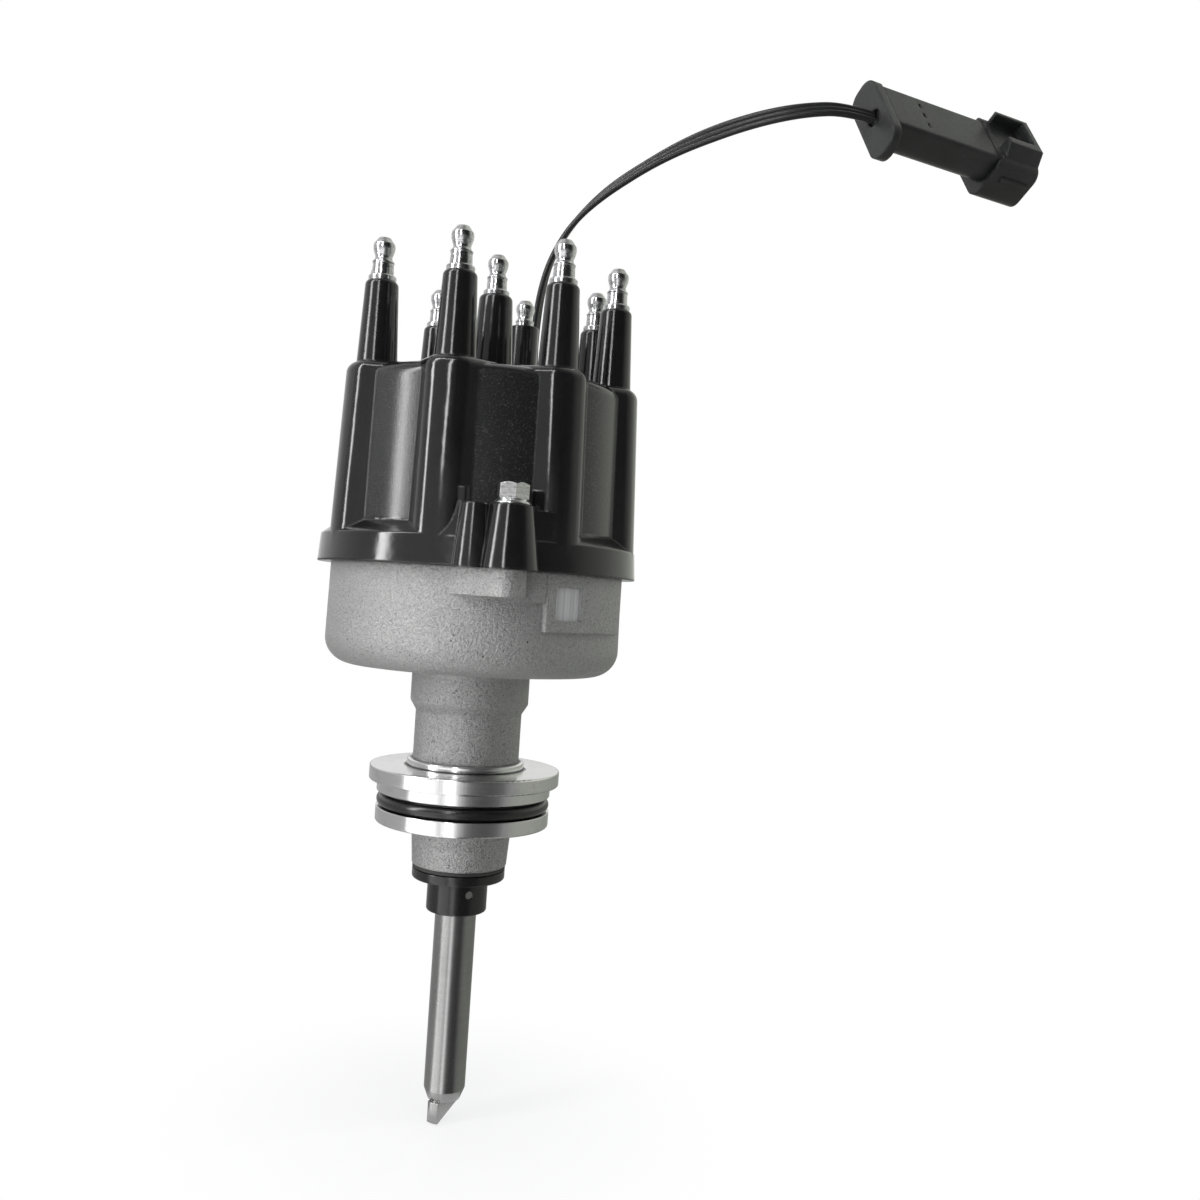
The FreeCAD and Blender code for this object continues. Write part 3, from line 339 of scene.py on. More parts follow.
def cast_aluminium():
    """Bead-blasted casting, with turned lands at the pilot and flange and a milled window."""
    t = Tree("cast_aluminium")
    axes = t.axes()
    radius = t.radius(axes)
    azimuth = t.azimuth(axes)
    height = axes[2]

    grain = t.noise(2200, 2.0, 0.7)
    sand = t.remap(t.noise(1000, 3.0, 0.75), 0.38, 0.62)
    cloud = t.noise(38, 4.0, 0.6)
    specks = t.both(t.remap(t.cells(620), 0.12, 0.22, 1.0, 0.0), t.remap(t.noise(140, 2.0), 0.54, 0.60))
    pits = t.both(t.remap(t.cells(230), 0.05, 0.09, 1.0, 0.0), t.remap(t.noise(75, 2.0), 0.58, 0.62))
    pit_mask = t.either(t.math("MULTIPLY", specks, 0.6), pits)
    neck_more = t.remap(radius, NECK_GRAIN_R, NECK_GRAIN_END_R, 1.45, 1.0)
    dark_grains = t.both(t.remap(grain, 0.48, 0.66, 0.0, 0.5), neck_more)
    colour = t.mix_colour(t.remap(cloud, 0.3, 0.7), (0.31, 0.31, 0.307), (0.37, 0.37, 0.366))
    colour = t.mix_colour(t.math("MULTIPLY", sand, 0.6), (0.42, 0.42, 0.417), colour)
    colour = t.mix_colour(dark_grains, colour, (0.13, 0.13, 0.128))
    colour = t.mix_colour(pit_mask, colour, (0.06, 0.06, 0.06))
    relief = t.bump(sand, 0.00014, t.rounded(0.0007))
    relief = t.bump(grain, 0.00016, relief)
    relief = t.bump(t.math("SUBTRACT", 1.0, pit_mask), 0.00012, relief)
    rough = t.remap(cloud, 0.3, 0.7, 0.42, 0.50)
    blasted = t.surface(colour, rough, 0.80, relief)

    rings = t.math("ADD", radius, height)
    ring_vector = t.tree.nodes.new("ShaderNodeCombineXYZ")
    t.link(rings, ring_vector.inputs[0])
    cut = t.noise(5200, 2.0, 0.7, ring_vector.outputs[0])
    broad = t.noise(900, 2.0, 0.6, ring_vector.outputs[0])
    chatter = t.noise(700, 3.0, 0.6, t.scaled((1.0, 1.0, 0.03)))
    turned_relief = t.bump(cut, 0.0000045, t.rounded(0.0004))
    turned_relief = t.bump(broad, 0.000008, turned_relief)
    turned_relief = t.bump(chatter, 0.00002, turned_relief)
    turned_colour = t.mix_colour(t.remap(cut, 0.3, 0.7), (0.66, 0.66, 0.66), (0.80, 0.80, 0.80))
    turned_colour = t.mix_colour(t.remap(t.noise(160, 5.0, 0.7), 0.52, 0.75, 0.0, 0.35),
                                 turned_colour, (0.42, 0.42, 0.42))
    turned = t.surface(turned_colour, 0.20, 1.0, turned_relief, anisotropic=0.6, tangent=t.around())

    band = t.between(height, PILOT_LOW_Z - MASK_MARGIN, FLANGE_TOP_Z + MASK_MARGIN, MASK_EDGE)
    past_neck = t.remap(radius, NECK_R + 2 * MASK_MARGIN, NECK_R + 3 * MASK_MARGIN)
    below_flange = t.remap(height, 0.0, MASK_MARGIN / 2, 1.0, 0.0)
    past_core = t.remap(radius, LAND_INNER_R - MASK_MARGIN / 2, LAND_INNER_R + MASK_MARGIN / 2)
    land = t.both(band, t.both(t.either(past_neck, below_flange), past_core))
    step = t.both(t.between(height, FLANGE_TOP_Z, STEP_TOP_Z + MASK_MARGIN / 2, MASK_MARGIN / 4), past_neck)
    land = t.either(land, step)

    streaks = t.noise(1700, 2.0, 0.5, t.scaled((1.0, 1.0, 0.0)))
    window_colour = t.mix_colour(t.remap(streaks, 0.35, 0.65), (0.33, 0.33, 0.33), (0.46, 0.46, 0.46))
    milled = t.surface(window_colour, 0.32, 0.35, t.bump(streaks, 0.00002))
    window = t.between(azimuth, WINDOW_START - WINDOW_TURN, WINDOW_END + WINDOW_TURN, WINDOW_TURN / 8)
    window = t.both(window, t.between(height, WINDOW_LOW_Z - WINDOW_MARGIN, WINDOW_TOP_Z + WINDOW_MARGIN,
                                      MASK_EDGE))
    window = t.both(window, t.between(radius, BOWL_R - WINDOW_DEPTH, BOWL_R + WINDOW_MARGIN, MASK_EDGE))

    return t.finish(t.mix_shaders(window, t.mix_shaders(land, blasted, turned), milled))


def cap_black():
    """Glossy black phenolic, with finely speckled satin panels between the columns."""
    t = Tree("cap_black")
    axes = t.axes()
    radius = t.radius(axes)
    skin = t.remap(axes[2], PANEL_LOW_Z, PANEL_TOP_Z, PANEL_LOW_R, PANEL_TOP_R)
    panel = t.both(t.remap(t.math("SUBTRACT", radius, skin), 0.00015, 0.0004, 1.0, 0.0),
                   t.between(axes[2], PANEL_LOW_Z + PANEL_EDGE, PANEL_TOP_Z, PANEL_EDGE))

    flow = t.noise(55, 4.0, 0.6, distortion=0.4)
    speckle = t.noise(2300, 2.0, 0.7)
    dust = t.cells(700)
    colour = t.mix_colour(t.remap(flow, 0.3, 0.7), (0.0055, 0.0055, 0.0057), (0.0095, 0.0095, 0.0098))
    colour = t.mix_colour(t.remap(dust, 0.05, 0.09, 0.25, 0.0), colour, (0.08, 0.08, 0.08))
    dots = t.both(t.remap(speckle, 0.55, 0.69, 0.0, 0.8), t.remap(panel, 0.0, 1.0, 0.12, 1.0))
    colour = t.mix_colour(dots, colour, (0.055, 0.055, 0.055))
    edges = t.rounded(0.0006)
    gloss_rough = t.remap(t.noise(420, 4.0, 0.65), 0.3, 0.75, 0.075, 0.14)
    satin_rough = t.remap(speckle, 0.3, 0.7, 0.32, 0.44)
    gloss_relief = t.bump(t.noise(150, 3.0, 0.5), 0.00006, edges)
    gloss_relief = t.bump(t.noise(1500, 2.0, 0.5), 0.000003, gloss_relief)
    satin_relief = t.bump(speckle, 0.00003, edges)
    satin_relief = t.bump(t.noise(1100, 3.0, 0.7), 0.000015, satin_relief)
    gloss = t.surface(colour, gloss_rough, 0.0, gloss_relief, ior=1.55)
    satin = t.surface(colour, satin_rough, 0.0, satin_relief, ior=1.3, coat=0.75, coat_rough=0.08)
    return t.finish(t.mix_shaders(panel, gloss, satin))


def moulded_plastic(name, dark, light, rough_low, rough_high, grain_scale, grain_depth, ior=1.48,
                    edge=0.0004, scuffed=0.5):
    """Moulded plastic or rubber with fine grain, faint flow clouds and small scuffs."""
    t = Tree(name)
    grain = t.noise(grain_scale, 3.0, 0.6)
    cloud = t.noise(60, 4.0, 0.6)
    scuffs = t.remap(t.noise(300, 6.0, 0.75, t.scaled((1.0, 0.35, 1.6))), 0.62, 0.72)
    colour = t.mix_colour(t.remap(cloud, 0.3, 0.7), dark, light)
    brighter = tuple(min(1.0, value * 1.8 + 0.01) for value in light)
    colour = t.mix_colour(t.math("MULTIPLY", scuffs, scuffed), colour, brighter)
    rough = t.remap(grain, 0.3, 0.7, rough_low, rough_high)
    edges = t.rounded(edge) if edge else None
    relief = t.bump(t.noise(grain_scale * 0.22, 3.0, 0.5), grain_depth * 1.5, edges)
    relief = t.bump(grain, grain_depth, relief)
    return t.finish(t.surface(colour, rough, 0.0, relief, ior=ior))


def bright_metal(name, dark, light, rough_low, rough_high, cut_scale, cut_depth, anisotropic):
    """Turned or plated metal: rings round Z, faint clouds and a few dull marks."""
    t = Tree(name)
    ring_vector = t.scaled((0.02, 0.02, 1.0))
    rings = t.noise(cut_scale, 3.0, 0.65, ring_vector)
    cloud = t.noise(900, 4.0, 0.65)
    marks = t.remap(t.noise(1500, 4.0, 0.7), 0.50, 0.66)
    colour = t.mix_colour(t.remap(rings, 0.3, 0.7), dark, light)
    duller = tuple(value * 0.4 for value in dark)
    colour = t.mix_colour(t.math("MULTIPLY", marks, 0.5), colour, duller)
    rough = t.remap(cloud, 0.3, 0.7, rough_low, rough_high)
    relief = t.bump(rings, cut_depth, t.rounded(0.00025))
    relief = t.bump(cloud, cut_depth * 4.0, relief)
    return t.finish(t.surface(colour, rough, 1.0, relief, anisotropic=anisotropic, tangent=t.around()))


def ground_steel():
    """Shaft steel: fine grinding rings, long soft stains and dull dots."""
    t = Tree("ground_steel")
    rings = t.noise(6000, 2.0, 0.6, t.scaled((0.02, 0.02, 1.0)))
    stains = t.noise(70, 5.0, 0.6, t.scaled((1.0, 1.0, 0.25)))
    dots = t.remap(t.cells(260), 0.06, 0.10, 1.0, 0.0)
    dots = t.both(dots, t.remap(t.noise(50, 2.0), 0.60, 0.66))
    colour = t.mix_colour(t.remap(stains, 0.3, 0.7), (0.25, 0.25, 0.248), (0.36, 0.36, 0.357))
    colour = t.mix_colour(t.remap(rings, 0.3, 0.7, 0.0, 0.25), colour, (0.46, 0.46, 0.46))
    colour = t.mix_colour(t.math("MULTIPLY", dots, 0.6), colour, (0.08, 0.08, 0.08))
    rough = t.remap(stains, 0.3, 0.7, 0.22, 0.34)
    relief = t.bump(rings, 0.0000035, t.rounded(0.0003))
    relief = t.bump(t.noise(900, 3.0, 0.6, t.scaled((1.0, 1.0, 0.02))), 0.00001, relief)
    return t.finish(t.surface(colour, rough, 1.0, relief, anisotropic=0.5, tangent=t.around()))


def flat_metal(name, dark, light, rough):
    """Sheet or wire metal with brushed grain in several directions."""
    t = Tree(name)
    grain = t.noise(1400, 3.0, 0.6, t.scaled((1.0, 0.15, 1.0)))
    cloud = t.noise(90, 4.0, 0.6)
    colour = t.mix_colour(t.remap(cloud, 0.3, 0.7), dark, light)
    relief = t.bump(grain, 0.000006)
    return t.finish(t.surface(colour, t.remap(grain, 0.3, 0.7, rough - 0.05, rough + 0.07), 1.0, relief))


def dress_nodes():
    """Gives each CAD node the finish of its record slot."""
    finishes = {
        "cast_aluminium": cast_aluminium(),
        "cap_black": cap_black(),
        "o_ring_rubber": moulded_plastic("o_ring_rubber", (0.007, 0.007, 0.007), (0.012, 0.012, 0.012),
                                         0.17, 0.26, 900, 0.000002, 1.52),
        "zinc_plate": bright_metal("zinc_plate", (0.60, 0.60, 0.61), (0.80, 0.80, 0.80),
                                   0.08, 0.15, 2600, 0.0000006, 0.0),
        "post_aluminium": bright_metal("post_aluminium", (0.42, 0.42, 0.43), (0.68, 0.68, 0.69),
                                       0.13, 0.24, 3600, 0.000010, 0.4),
        "bronze": flat_metal("bronze", (0.40, 0.25, 0.12), (0.55, 0.36, 0.18), 0.42),
        "shaft_steel": ground_steel(),
        "collar_plastic": moulded_plastic("collar_plastic", (0.004, 0.004, 0.004), (0.007, 0.007, 0.007),
                                          0.16, 0.26, 1300, 0.00001, 1.55),
        "washer_fibre": moulded_plastic("washer_fibre", (0.018, 0.018, 0.017), (0.028, 0.028, 0.026),
                                        0.5, 0.65, 1500, 0.00002),
        "plate_steel": flat_metal("plate_steel", (0.42, 0.41, 0.38), (0.55, 0.54, 0.50), 0.36),
        "pulse_steel": flat_metal("pulse_steel", (0.36, 0.36, 0.355), (0.48, 0.48, 0.47), 0.34),
        "rotor_plastic": moulded_plastic("rotor_plastic", (0.012, 0.012, 0.012), (0.020, 0.020, 0.020),
                                         0.24, 0.38, 1500, 0.00001),
        "blade_brass": flat_metal("blade_brass", (0.58, 0.42, 0.18), (0.70, 0.53, 0.26), 0.30),
        "carbon": moulded_plastic("carbon", (0.016, 0.016, 0.017), (0.028, 0.028, 0.029),
                                  0.42, 0.55, 2400, 0.00001),
        "spring_steel": flat_metal("spring_steel", (0.42, 0.42, 0.41), (0.55, 0.55, 0.54), 0.26),
        "sensor_plastic": moulded_plastic("sensor_plastic", (0.014, 0.014, 0.014), (0.022, 0.022, 0.022),
                                          0.40, 0.52, 1500, 0.000015),
        "grommet_rubber": moulded_plastic("grommet_rubber", (0.010, 0.010, 0.010), (0.017, 0.017, 0.017),
                                          0.45, 0.6, 1400, 0.00002),
        "lead_vinyl": moulded_plastic("lead_vinyl", (0.009, 0.009, 0.0095), (0.014, 0.014, 0.0145),
                                      0.28, 0.34, 500, 0.0000012, 1.48, 0.0, 0.1),
        "connector_plastic": moulded_plastic("connector_plastic", (0.006, 0.0063, 0.0068),
                                             (0.015, 0.0155, 0.016), 0.36, 0.50, 1600, 0.000018,
                                             1.48, 0.0016),
        "seal_rubber": moulded_plastic("seal_rubber", (0.02, 0.02, 0.02), (0.03, 0.03, 0.03),
                                       0.5, 0.6, 1400, 0.00002),
        "contact_tin": flat_metal("contact_tin", (0.55, 0.54, 0.50), (0.68, 0.67, 0.63), 0.28),
    }
    for subpart in frame["record"]["subparts"]:
        node = frame["nodes"][subpart["node"]]
        node.data.materials.clear()
        node.data.materials.append(finishes[subpart["material_slot"]])
    return finishes


# Lead

def lead_line():
    """Centreline points of the route's own smooth spline."""
    data = bpy.data.curves.new("lead_route", "CURVE")
    data.dimensions = "3D"
    spline = data.splines.new("NURBS")
    spline.points.add(len(LEAD_ROUTE) - 1)
    for point, place in zip(spline.points, LEAD_ROUTE):
        point.co = (*place, 1.0)
    spline.order_u = LEAD_ORDER
    spline.use_endpoint_u = True
    spline.resolution_u = LEAD_STEPS
    route = bpy.data.objects.new("lead_route", data)
    bpy.context.collection.objects.link(route)
    bpy.context.view_layer.update()
    mesh = bpy.data.meshes.new_from_object(route)
    points = [vertex.co.copy() for vertex in mesh.vertices]
    bpy.data.objects.remove(route)
    bpy.data.meshes.remove(mesh)
    return points


def lead_section():
    """Outline of three joined cores, as (across, deep) pairs, counter-clockwise."""
    outline = []
    valley = math.acos(CORE_PITCH / 2 / CORE_RADIUS)
    for side in (1, -1):
        for core in (1, 0, -1):
            centre = core * CORE_PITCH * side
            start = 0.0 if core == 1 else valley
            end = math.pi if core == -1 else math.pi - valley
            for step in range(CORE_STEPS - 1):
                angle = start + (end - start) * step / (CORE_STEPS - 1)
                outline.append((centre + math.cos(angle) * CORE_RADIUS * side,
                                math.sin(angle) * CORE_RADIUS * side))
    return outline


def width_direction(share, along):
    for (low, first), (high, second) in zip(LEAD_FACES[:-1], LEAD_FACES[1:]):
        if share <= high:
            mix = (share - low) / (high - low)
            mix = mix * mix * (3 - 2 * mix)
            wide = Vector(first).lerp(Vector(second), mix)
            break
    wide -= along * wide.dot(along)
    return wide.normalized()


def make_lead(finishes):
    line = lead_line()
    lengths = [0.0]
    for before, after in zip(line[:-1], line[1:]):
        lengths.append(lengths[-1] + (after - before).length)
    section = lead_section()
    points = []
    for index, centre in enumerate(line):
        before = line[max(index - 1, 0)]
        after = line[min(index + 1, len(line) - 1)]
        along = (after - before).normalized()
        wide = width_direction(lengths[index] / lengths[-1], along)
        deep = along.cross(wide)
        points += [centre + wide * across + deep * up for across, up in section]
    count = len(section)
    faces = []
    for ring in range(len(line) - 1):
        for corner in range(count):
            following = (corner + 1) % count
            faces.append((ring * count + corner, ring * count + following,
                          (ring + 1) * count + following, (ring + 1) * count + corner))
    faces.append(tuple(reversed(range(count))))
    faces.append(tuple(range((len(line) - 1) * count, len(line) * count)))
    lead = mesh_object("flat_lead", points, faces)
    lead.data.set_sharp_from_angle(angle=LEAD_CREASE)
    lead.data.materials.append(finishes["lead_vinyl"])
    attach(lead, "case")
    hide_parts("sensor_lead")


def lathe(name, outline, sides, closed=True):
    """Outline of (radius, z) pairs turned round the Z axis."""
    points = []
    for side in range(sides):
        turn = 2 * math.pi * side / sides
        points += [(math.sin(turn) * radius, -math.cos(turn) * radius, z) for radius, z in outline]
    rows = len(outline)
    faces = []
    for side in range(sides):
        here = side * rows
        there = (side + 1) % sides * rows
        for row in range(rows if closed else rows - 1):
            following = (row + 1) % rows
            faces.append((here + row, here + following, there + following, there + row))
    return mesh_object(name, points, faces)


def make_neck_step(finishes):
    """Ring over the CAD neck's foot, which the photograph shows as a turned step."""
    outline = [
        (STEP_INNER_R, STEP_LOW_Z), (STEP_R, STEP_LOW_Z), (STEP_R, STEP_TOP_Z - STEP_EDGE),
        (STEP_R - STEP_EDGE * 0.3, STEP_TOP_Z - STEP_EDGE * 0.3), (STEP_R - STEP_EDGE, STEP_TOP_Z),
        (STEP_INNER_R, STEP_TOP_Z + STEP_EDGE),
    ]
    step = lathe("neck_turned_step", outline, STEP_SIDES)
    step.data.materials.append(finishes["cast_aluminium"])
    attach(step, "case")


# Turned posts: (radius, height above the tower's top), in metres
POST_PROFILE = [
    (0.0040, -0.0002), (0.00405, 0.0011), (0.0038, 0.0014), (0.0032, 0.0016), (0.00305, 0.0049),
    (0.0032, 0.0052), (0.0032, 0.0055), (0.0028, 0.0059), (0.0025, 0.0066), (0.0025, 0.0071),
    (0.0028, 0.0080), (0.0031, 0.0089), (0.0032, 0.0098), (0.0031, 0.0107), (0.0021, 0.0121),
    (0.0018, 0.0125),
]
POST_HEIGHT = 0.0125
POST_INSERT_R = 0.0022   # the part of each post inside the cap
POST_INSERT_EDGE = 0.0003
POST_CORE_R = 0.0002
POST_SIDES = 48
POST_CREASE = math.radians(24)
POST_TURN = 2.4          # radians from one post's marks to the next one's


def make_posts(finishes):
    """Stand-in for each CAD post, with the real one's sharper flange, ridge, bulb and cone."""
    nodes = ["coil_terminal"] + ["plug_terminal_%d" % (count + 1) for count in range(8)]
    for index, node in enumerate(nodes):
        low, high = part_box(node)
        foot = low[2] - high[2]
        outline = [(POST_CORE_R, foot), (POST_INSERT_R - POST_INSERT_EDGE, foot),
                   (POST_INSERT_R, foot + POST_INSERT_EDGE),
                   (POST_INSERT_R, POST_PROFILE[0][1] - POST_HEIGHT)]
        outline += [(radius, height - POST_HEIGHT) for radius, height in POST_PROFILE]
        outline += [(POST_CORE_R, 0.0)]
        post = lathe(node + "_turned", outline, POST_SIDES)
        post.data.set_sharp_from_angle(angle=POST_CREASE)
        post.location = ((low[0] + high[0]) / 2, (low[1] + high[1]) / 2, high[2])
        post.rotation_euler.z = index * POST_TURN
        post.data.materials.append(finishes["post_aluminium"])
        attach(post, "case")
        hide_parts(node)


def make_button_spring(finishes):
    """The same coil as the CAD node, as a piece of its own."""
    spring = bpy.data.objects.new("button_spring_coil", frame["nodes"]["button_spring"].data.copy())
    bpy.context.collection.objects.link(spring)
    spring.data.materials.clear()
    spring.data.materials.append(finishes["spring_steel"])
    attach(spring, "case")
    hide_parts("button_spring")
    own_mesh(spring)


# Studio

FLOOR_Z = -0.1052
FLOOR_R = 3.0
FLOOR_SIDES = 96
FLOOR_SHOW = 0.25        # share of the floor's own shading that the camera sees at the foot
FLOOR_SHOW_START = 0.008
FLOOR_SHOW_END = 0.10
WORLD_LEVEL = 0.45
WORLD_TINT = (0.93, 0.95, 1.0, 1.0)


def seen_rays(tree):
    """1 for what the camera sees, straight or by gloss or glass."""
    rays = tree.nodes.new("ShaderNodeLightPath")
    seen = rays.outputs["Is Camera Ray"]
    for kind in ("Is Glossy Ray", "Is Transmission Ray"):
        either = tree.nodes.new("ShaderNodeMath")
        either.operation = "MAXIMUM"
        tree.links.new(seen, either.inputs[0])
        tree.links.new(rays.outputs[kind], either.inputs[1])
        seen = either.outputs[0]
    return seen


def make_world():
    world = bpy.data.worlds.new("studio")
    bpy.context.scene.world = world
    world.use_nodes = True
    tree = world.node_tree
    tree.nodes.clear()
    output = tree.nodes.new("ShaderNodeOutputWorld")
    seen = tree.nodes.new("ShaderNodeBackground")
    seen.inputs["Color"].default_value = (1.0, 1.0, 1.0, 1.0)
    seen.inputs["Strength"].default_value = 1.0
    soft = tree.nodes.new("ShaderNodeBackground")
    soft.inputs["Color"].default_value = WORLD_TINT
    soft.inputs["Strength"].default_value = WORLD_LEVEL
    mix = tree.nodes.new("ShaderNodeMixShader")
    tree.links.new(seen_rays(tree), mix.inputs[0])
    tree.links.new(soft.outputs[0], mix.inputs[1])
    tree.links.new(seen.outputs[0], mix.inputs[2])
    tree.links.new(mix.outputs[0], output.inputs["Surface"])


def make_floor():
    """Pale floor with the object's shadow, clear from below."""
    t = Tree("pale_floor")
    glow = t.tree.nodes.new("ShaderNodeEmission")
    glow.inputs["Color"].default_value = (1.0, 1.0, 1.0, 1.0)
    glow.inputs["Strength"].default_value = 1.0
    paper = t.surface((0.9, 0.9, 0.9), 0.8, 0.0, t.bump(t.noise(900, 3.0), 0.00001))
    plain = t.remap(t.radius(t.axes()), FLOOR_SHOW_START, FLOOR_SHOW_END, 1.0 - FLOOR_SHOW, 1.0, True)
    share = t.both(seen_rays(t.tree), plain)
    above = t.mix_shaders(share, paper, glow.outputs[0])
    side = t.tree.nodes.new("ShaderNodeNewGeometry")
    clear = t.tree.nodes.new("ShaderNodeBsdfTransparent")
    material = t.finish(t.mix_shaders(side.outputs["Backfacing"], above, clear.outputs[0]))
    mesh = bpy.data.meshes.new("floor")
    shape = bmesh.new()
    bmesh.ops.create_circle(shape, cap_ends=True, segments=FLOOR_SIDES, radius=FLOOR_R)
    shape.to_mesh(mesh)
    shape.free()
    mesh.materials.append(material)
    floor = bpy.data.objects.new("floor", mesh)
    floor.location.z = FLOOR_Z
    bpy.context.collection.objects.link(floor)


LIGHT_CENTRE = Vector((0.0, 0.0, 0.08))


def light(name, azimuth, elevation, distance, width, height, power, colour=(1.0, 1.0, 1.0)):
    """Soft box that faces the object, seen from it at an azimuth from -Y towards +X."""
    data = bpy.data.lights.new(name, "AREA")
    data.shape = "RECTANGLE"
    data.size = width
    data.size_y = height
    data.energy = power
    data.color = colour
    lamp = bpy.data.objects.new(name, data)
    turn = math.radians(azimuth)
    lift = math.radians(elevation)
    away = Vector((math.sin(turn) * math.cos(lift), -math.cos(turn) * math.cos(lift), math.sin(lift)))
    lamp.location = LIGHT_CENTRE + away * distance
    lamp.rotation_mode = "QUATERNION"
    lamp.rotation_quaternion = away.to_track_quat("Z", "Y")
    # Reflections show the surround's painted highlight bands in place of the lamp.
    lamp.visible_glossy = False
    bpy.context.collection.objects.link(lamp)


# The studio's surround: a glowing bowl, no lamp, that only reflections see, in zones by height. Its bright
# bands are painted reflections of strip lamps, its dark stretches painted reflections of black flags.
# Each zone has (azimuth, level, tint) stops. Azimuths are degrees from -Y towards +X.
PLAIN = (1.0, 1.0, 1.0)
GREENISH = (0.97, 1.0, 0.90)
BRIGHTEST = 20.0
# Levels above about 2 are painted highlights of strip lamps; levels near 0 are painted reflections of dark
# flags.
FOOT_STOPS = [
    (-180.0, 0.50, PLAIN), (-130.0, 0.42, PLAIN), (-80.0, 0.45, PLAIN), (-74.0, 0.50, PLAIN),
    (-71.0, 2.40, PLAIN), (-60.0, 1.70, PLAIN), (-33.0, 1.50, PLAIN), (-30.0, 0.80, PLAIN),
    (-24.0, 0.80, PLAIN), (-20.0, 2.20, PLAIN), (-12.0, 1.90, PLAIN), (-7.0, 0.75, PLAIN),
    (-2.0, 0.35, PLAIN), (8.0, 0.12, PLAIN), (30.0, 0.09, PLAIN), (45.0, 0.13, PLAIN),
    (56.0, 0.30, PLAIN), (72.0, 0.38, GREENISH), (100.0, 0.38, GREENISH), (150.0, 0.30, GREENISH),
    (180.0, 0.50, PLAIN),
]
BOWL_STOPS = [
    (-180.0, 0.50, PLAIN), (-130.0, 0.42, PLAIN), (-74.0, 0.50, PLAIN), (-71.0, 2.00, PLAIN),
    (-60.0, 1.70, PLAIN), (-33.0, 1.60, PLAIN), (-20.0, 1.75, PLAIN), (-6.0, 1.55, PLAIN),
    (2.0, 0.75, PLAIN), (10.0, 0.25, PLAIN), (22.0, 0.12, PLAIN), (32.0, 0.10, PLAIN),
    (45.0, 0.16, PLAIN), (56.0, 0.32, PLAIN), (72.0, 0.40, GREENISH), (100.0, 0.40, GREENISH),
    (150.0, 0.30, GREENISH), (180.0, 0.50, PLAIN),
]
RIM_STOPS = [
    (-180.0, 0.95, PLAIN), (-130.0, 0.85, PLAIN), (-100.0, 0.60, PLAIN), (-73.0, 0.50, PLAIN),
    (-71.8, 15.0, PLAIN), (-67.0, 15.0, PLAIN), (-61.0, 0.80, PLAIN), (-50.0, 0.60, PLAIN),
    (-20.0, 0.60, PLAIN), (-2.0, 0.45, PLAIN), (10.0, 0.25, PLAIN), (45.0, 0.06, PLAIN),
    (62.0, 0.12, PLAIN), (80.0, 0.50, GREENISH), (110.0, 0.80, GREENISH), (150.0, 0.80, GREENISH),
    (180.0, 0.95, PLAIN),
]
WALL_STOPS = [
    (-180.0, 0.95, PLAIN), (-130.0, 0.85, PLAIN), (-100.0, 0.65, PLAIN), (-73.0, 0.55, PLAIN),
    (-71.8, 16.0, PLAIN), (-66.5, 13.0, PLAIN), (-61.0, 0.75, PLAIN), (-50.0, 0.55, PLAIN),
    (-22.6, 0.50, PLAIN), (-21.8, 14.0, PLAIN), (-18.2, 14.0, PLAIN), (-17.4, 0.20, PLAIN),
    (-6.0, 0.05, PLAIN), (45.0, 0.02, PLAIN), (62.0, 0.08, PLAIN), (80.0, 0.50, GREENISH),
    (110.0, 0.80, GREENISH), (150.0, 0.80, GREENISH), (180.0, 0.95, PLAIN),
]
TOP_STOPS = [
    (-180.0, 0.95, PLAIN), (-130.0, 0.85, PLAIN), (-100.0, 0.65, PLAIN), (-73.0, 0.60, PLAIN),
    (-71.8, 14.0, PLAIN), (-16.0, 14.0, PLAIN), (-14.0, 0.30, PLAIN), (45.0, 0.25, PLAIN),
    (80.0, 0.50, GREENISH), (110.0, 0.80, GREENISH), (150.0, 0.80, GREENISH), (180.0, 0.95, PLAIN),
]
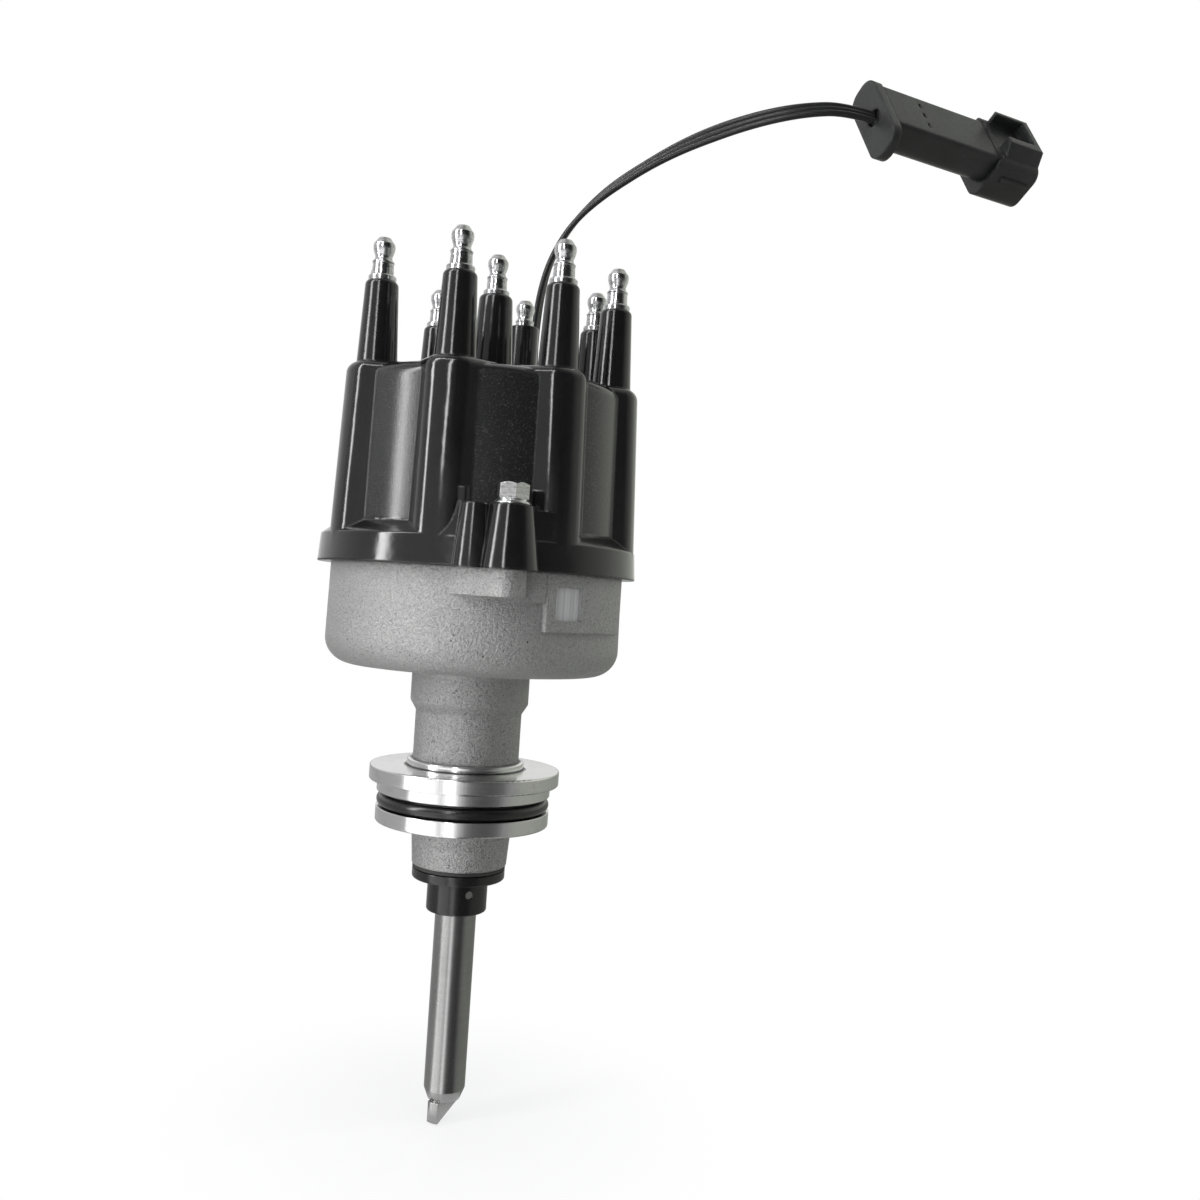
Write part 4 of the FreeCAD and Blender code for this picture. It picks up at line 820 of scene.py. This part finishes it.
LID_STOPS = [
    (-180.0, 0.95, PLAIN), (-100.0, 0.80, PLAIN), (-60.0, 0.40, PLAIN), (-20.0, 0.15, PLAIN),
    (45.0, 0.15, PLAIN), (80.0, 0.40, GREENISH), (120.0, 0.80, GREENISH), (180.0, 0.95, PLAIN),
]
# Where one zone gives way to the next, as (from, to) heights
ZONE_STEPS = [(-0.06, -0.02), (0.072, 0.084), (0.180, 0.212), (0.84, 0.86), (0.9504, 0.9506)]
SURROUND_SIDES = 96
SURROUND_PROFILE = [(0.012, -0.1046), (0.52, -0.1046), (0.58, -0.085), (0.60, -0.04), (0.60, 0.95),
                    (0.59, 0.951), (0.012, 0.951)]


def painted(turn, level, tint):
    """Colour ramp stop of the painted reflections at one azimuth."""
    return (turn + 180.0) / 360.0, tuple(part * level / BRIGHTEST for part in tint)


def make_surround():
    """Glowing bowl of the studio with painted reflections of strip lamps and dark flags. Only reflections
    see it.
    """
    piece = lathe("surround", SURROUND_PROFILE, SURROUND_SIDES, closed=False)
    t = Tree("surround")
    axes = t.axes()
    place = t.math("MULTIPLY_ADD", t.azimuth(axes), 1 / 360.0, 0.5)
    zones = []
    for stops in (FOOT_STOPS, BOWL_STOPS, RIM_STOPS, WALL_STOPS, TOP_STOPS, LID_STOPS):
        zones.append(t.shade(place, [painted(*stop) for stop in stops]))
    colour = zones[0]
    for zone, (low, high) in zip(zones[1:], ZONE_STEPS):
        colour = t.mix_colour(t.remap(axes[2], low, high), colour, zone)
    glow = t.tree.nodes.new("ShaderNodeEmission")
    t.link(colour, glow.inputs["Color"])
    glow.inputs["Strength"].default_value = BRIGHTEST
    piece.data.materials.append(t.finish(glow.outputs[0]))
    piece.visible_camera = False
    piece.visible_diffuse = False
    piece.visible_shadow = False
    piece.visible_transmission = False


def make_lights():
    light("key_strip", -64, 8, 0.9, 0.20, 1.1, 6.0)
    light("second_strip", -20, 8, 1.0, 0.12, 1.0, 1.2)
    light("top_box", 10, 62, 1.0, 0.9, 0.7, 4.0)
    light("right_fill", 78, 10, 1.1, 0.5, 0.9, 2.2)


bpy.context.scene.view_settings.view_transform = "Standard"
make_camera()
finishes = dress_nodes()
make_lead(finishes)
make_neck_step(finishes)
make_posts(finishes)
make_button_spring(finishes)
make_world()
make_floor()
make_surround()
make_lights()
